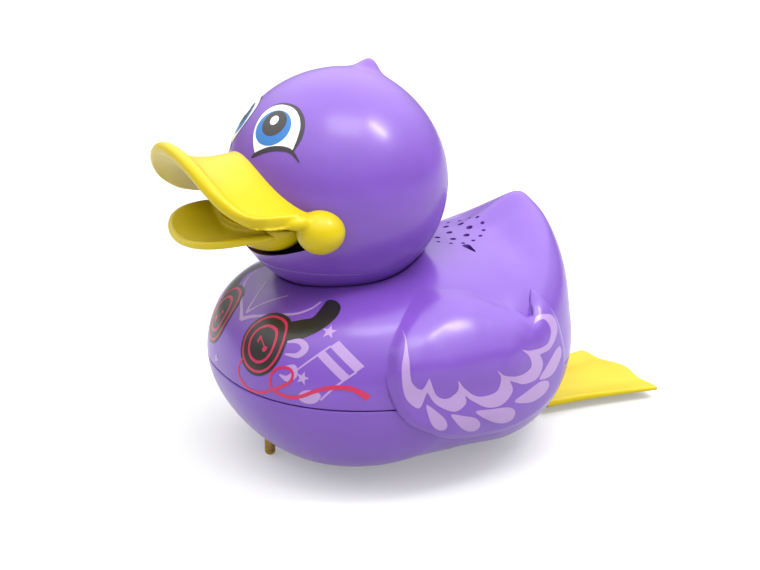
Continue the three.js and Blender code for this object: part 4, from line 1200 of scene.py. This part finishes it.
def beamed_note():
    """A note with two stems under a double beam."""
    top, far = np.array([32.2, -32.1, 41.8]), np.array([37.9, -27.9, 36.3])
    foot = np.array([27.6, -42.0, 33.7])
    left = unit(foot - top)
    for name, a, b in (("beam_upper", 0, 2.6), ("beam_lower", 4.2, 6.4)):
        corners = [top + left * a, far + left * a, far + left * b, top + left * b]
        patch(name, corners, ON_BODY, LAVENDER, 80, curved=False)
    stroke("stem_left", [top + left * 2.4, (top + foot) / 2, foot], (0.5, 0.5, 0.4), ON_BODY, LAVENDER, 40)
    stem = [far + left * 2.4, (36.2, -33.0, 32.7), (34.9, -35.6, 30.2), (33.7, -37.9, 27.6)]
    stroke("stem_right", stem, (0.5, 0.5, 0.5), ON_BODY, LAVENDER, 40)
    note = [
        (33.6, -37.7, 28.6), (32.4, -38.8, 29.8), (30.4, -41.0, 29.4), (29.4, -41.9, 27.8),
        (30.6, -41.2, 26.4), (32.8, -39.2, 26.6),
    ]
    patch("note_head", note, ON_BODY, LAVENDER, 48, level=-0.5)


# scallops of the feather print on a wing: cusps of the inner and of the outer edge, and each arc between them
SCALLOP_INNER = [(19.4, 41.5), (12.7, 37.0), (4.5, 33.2), (-7.0, 32.5), (-14.8, 34.1), (-17.5, 44.2)]
SCALLOP_OUTER = [(19.4, 41.5), (20.0, 33.9), (9.0, 29.4), (-4.6, 28.0), (-15.1, 30.3), (-17.5, 44.2)]
INNER_ARCS = [
    [(23.4, 42.0), (25.2, 38.6), (22.6, 35.6), (16.4, 35.9)],
    [(15.6, 34.4), (16.4, 31.4), (12.4, 30.1), (7.2, 31.2)],
    [(5.9, 30.6), (4.8, 27.2), (-0.6, 26.9), (-4.6, 29.6)],
    [(-6.9, 29.6), (-9.6, 27.9), (-12.6, 29.2)],
    [(-16.6, 31.2), (-19.2, 33.8), (-19.0, 39.4)],
]
OUTER_ARCS = [
    [(22.6, 43.2), (27.2, 42.0), (28.3, 38.0), (24.8, 34.4)],
    [(21.3, 30.8), (19.2, 27.6), (14.4, 27.2), (11.2, 28.4)],
    [(10.2, 26.2), (7.2, 23.2), (2.4, 23.3), (-2.6, 26.2)],
    [(-4.4, 25.6), (-7.4, 24.0), (-12.4, 26.6)],
    [(-17.0, 26.2), (-20.5, 29.8), (-20.9, 37.0)],
]
FEATHERS = [
    [(20.2, 27.0), (23.0, 29.8), (27.0, 32.8), (29.4, 33.4), (30.3, 31.2), (28.6, 28.6), (25.4, 26.5)],
    [(11.4, 22.9), (15.5, 24.8), (20.3, 26.1), (23.9, 25.4), (24.8, 23.4), (22.5, 21.6), (17.5, 21.0)],
    [(-1.1, 22.7), (3.8, 22.5), (9.2, 21.8), (12.0, 20.0), (11.9, 17.6), (9.2, 16.9), (4.6, 18.6)],
    [(-8.3, 23.2), (-5.0, 22.4), (-1.0, 20.9), (1.1, 18.6), (0.6, 16.7), (-2.0, 16.9), (-5.2, 19.2)],
    [(-15.1, 26.8), (-12.4, 24.8), (-10.0, 22.4), (-9.0, 20.2), (-9.8, 19.0), (-11.8, 19.6), (-13.8, 22.2)],
]


def feather_print(side, flip, surface):
    """The scalloped band and the five feathers on one wing."""
    for k, (inner_arc, outer_arc) in enumerate(zip(INNER_ARCS, OUTER_ARCS)):
        edges = [spline([cusps[k], *arc, cusps[k + 1]], 40)
                 for cusps, arc in ((SCALLOP_INNER, inner_arc), (SCALLOP_OUTER, outer_arc))]
        band(f"{side}_scallop_{k}", *edges, surface, LAVENDER, flip=flip)
    for k, outline in enumerate(FEATHERS):
        patch(f"{side}_feather_{k}", outline, surface, LAVENDER, 72, flip=flip)


# ---- eyes: outlines in millimetres across and up from the middle of the iris ----
EYE = on_head([10.2, -39.3, 91.4])
EYE_UP = unit(UP - unit(EYE - HEAD_CENTRE) * unit(EYE - HEAD_CENTRE)[2])
EYE_ACROSS = unit(np.cross(EYE_UP, EYE - HEAD_CENTRE))
EYE_OUTER = [
    (-4.6, -6.6), (-6.4, -3.4), (-7.3, -1.0), (-7.6, 1.8), (-6.9, 4.6), (-4.9, 6.7), (-1.4, 7.9),
    (3.2, 7.4), (6.5, 5.3), (8.4, 2.4), (9.0, -0.6), (8.6, -3.2), (7.5, -5.4), (4.2, -5.3), (0.4, -6.1),
    (-3.0, -7.4),
]
EYE_INNER = [
    (-4.4, -6.4), (-6.2, -3.3), (-7.05, -1.0), (-7.3, 1.8), (-6.6, 4.4), (-4.6, 6.3), (-1.3, 7.2),
    (2.8, 6.5), (5.6, 4.5), (7.2, 1.9), (7.7, -0.7), (7.7, -3.1), (7.2, -5.2), (4.2, -5.2), (0.4, -6.0),
    (-3.0, -7.2),
]
LID = [(-5.0, -8.4), (-3.7, -7.4), (0.4, -5.6), (4.2, -4.8), (7.4, -5.1), (10.6, -7.4)]


def on_eye(points):
    return [EYE + EYE_ACROSS * a + EYE_UP * b for a, b in points]


def circle(x, y, rx, ry):
    return [(x + rx * math.cos(a), y + ry * math.sin(a)) for a in np.arange(12) * math.pi / 6]


# each disc of the eye: middle and radii, ink and how many points go round it
EYE_DISCS = {"iris": ((-0.8, 0.3, 5.6, 5.0), BLUE, 80), "pupil": ((-0.8, 1.5, 3.75, 3.6), PUPIL, 64),
             "glint": ((-1.0, 2.2, 1.3, 1.35), WHITE, 40)}
LID_WIDTHS = (0.2, 1.0, 1.3, 1.3, 1.1, 0.2)


def eye(side, flip):
    """An eye in layers: dark line, white, iris, pupil, glint and the lid's stroke."""
    patch(f"{side}_eye_line", on_eye(EYE_OUTER), ON_HEAD, LINE, 120, 0, flip)
    patch(f"{side}_eye_white", on_eye(EYE_INNER), ON_HEAD, WHITE, 120, 1, flip)
    for level, (name, (form, material, count)) in enumerate(EYE_DISCS.items(), 2):
        patch(f"{side}_{name}", on_eye(circle(*form)), ON_HEAD, material, count, level, flip)
    stroke(f"{side}_lid", on_eye(LID), LID_WIDTHS, ON_HEAD, LINE, 60, 2, flip)


# ---- the stage ----
def stand(name, data, spot, side, up, back):
    """Adds a camera or lamp at a place in millimetres, looking away from its back."""
    obj = add_object(name, data)
    obj.matrix_world = Matrix.Translation(Vector(spot) * MM) @ Matrix((side, up, back)).transposed().to_4x4()
    return obj


def camera():
    a, e, roll = (math.radians(CAMERA[k]) for k in ("azimuth", "elevation", "roll"))
    back = Vector((math.sin(a) * math.cos(e), -math.cos(a) * math.cos(e), math.sin(e)))
    right = Vector((math.cos(a), math.sin(a), 0))
    up = back.cross(right)
    right, up = right * math.cos(roll) + up * math.sin(roll), up * math.cos(roll) - right * math.sin(roll)
    data = bpy.data.cameras.new("camera")
    data.lens = CAMERA["lens"]
    data.clip_start = 0.01
    spot = Vector(CAMERA["target"]) + back * CAMERA["distance"]
    bpy.context.scene.camera = stand("camera", data, spot, right, up, back)


def lamp(name, spot, size, power, along):
    """A rectangular lamp whose long side lies along the given direction."""
    data = bpy.data.lights.new(name, "AREA")
    data.shape = "RECTANGLE"
    data.size, data.size_y = (s * MM for s in size)
    data.energy = power
    back = Vector(unit(np.subtract(spot, LAMPS_AIM)))
    side = (Vector(along) - back * back.dot(Vector(along))).normalized()
    stand(name, data, spot, side, back.cross(side), back)


def sky():
    """A studio ceiling that is bright overhead and dimmer towards the horizon."""
    world = bpy.data.worlds.new("studio")
    world.use_nodes = True
    tree = world.node_tree
    split = tree.nodes.new("ShaderNodeSeparateXYZ")
    tree.links.new(tree.nodes.new("ShaderNodeTexCoord").outputs["Generated"], split.inputs["Vector"])
    rise = tree.nodes.new("ShaderNodeMapRange")
    rise.interpolation_type = "SMOOTHSTEP"
    fill(rise, SKY)
    tree.links.new(split.outputs["Z"], rise.inputs["Value"])
    tree.links.new(rise.outputs["Result"], tree.nodes["Background"].inputs["Strength"])
    fill(tree.nodes["Background"], {"Color": (1, 1, 1, 1)})
    bpy.context.scene.world = world


def stage():
    """The floor, the sky and the lamps."""
    data = bpy.data.materials.new("floor")
    data.use_nodes = True
    shader = data.node_tree.nodes["Principled BSDF"]
    fill(shader, {"Base Color": (FLOOR["tone"],) * 3 + (1,), "Emission Color": (1, 1, 1, 1)})
    fill(shader, {"Emission Strength": FLOOR["glow"], "Roughness": 0.9, "Specular IOR Level": 0})
    corners = np.array([(-1, -1, 0), (1, -1, 0), (1, 1, 0), (-1, 1, 0)]) * FLOOR["reach"]
    corners += [0, 0, CAD_BOX[0][2] / MM]
    mesh_object("floor", corners, [(0, 1, 2, 3)], data)
    sky()
    bpy.context.scene.view_settings.view_transform = "Standard"
    for name, values in LAMPS.items():
        lamp(name, *values)


# ---- build ----
camera()
upper_shell()
hull()
feet()
head()
upper_bill()
lower_bill()
on_wing = (onto(wing("left_wing", 1)), "body")
wing("right_wing", -1)
for wing_name, wing_sign in (("left_wing", 1), ("right_wing", -1)):
    feather_print(wing_name, wing_sign, on_wing)
flipper()
chest_prints()
for eye_name, eye_sign in (("left", 1), ("right", -1)):
    eye(eye_name, eye_sign)
stage()
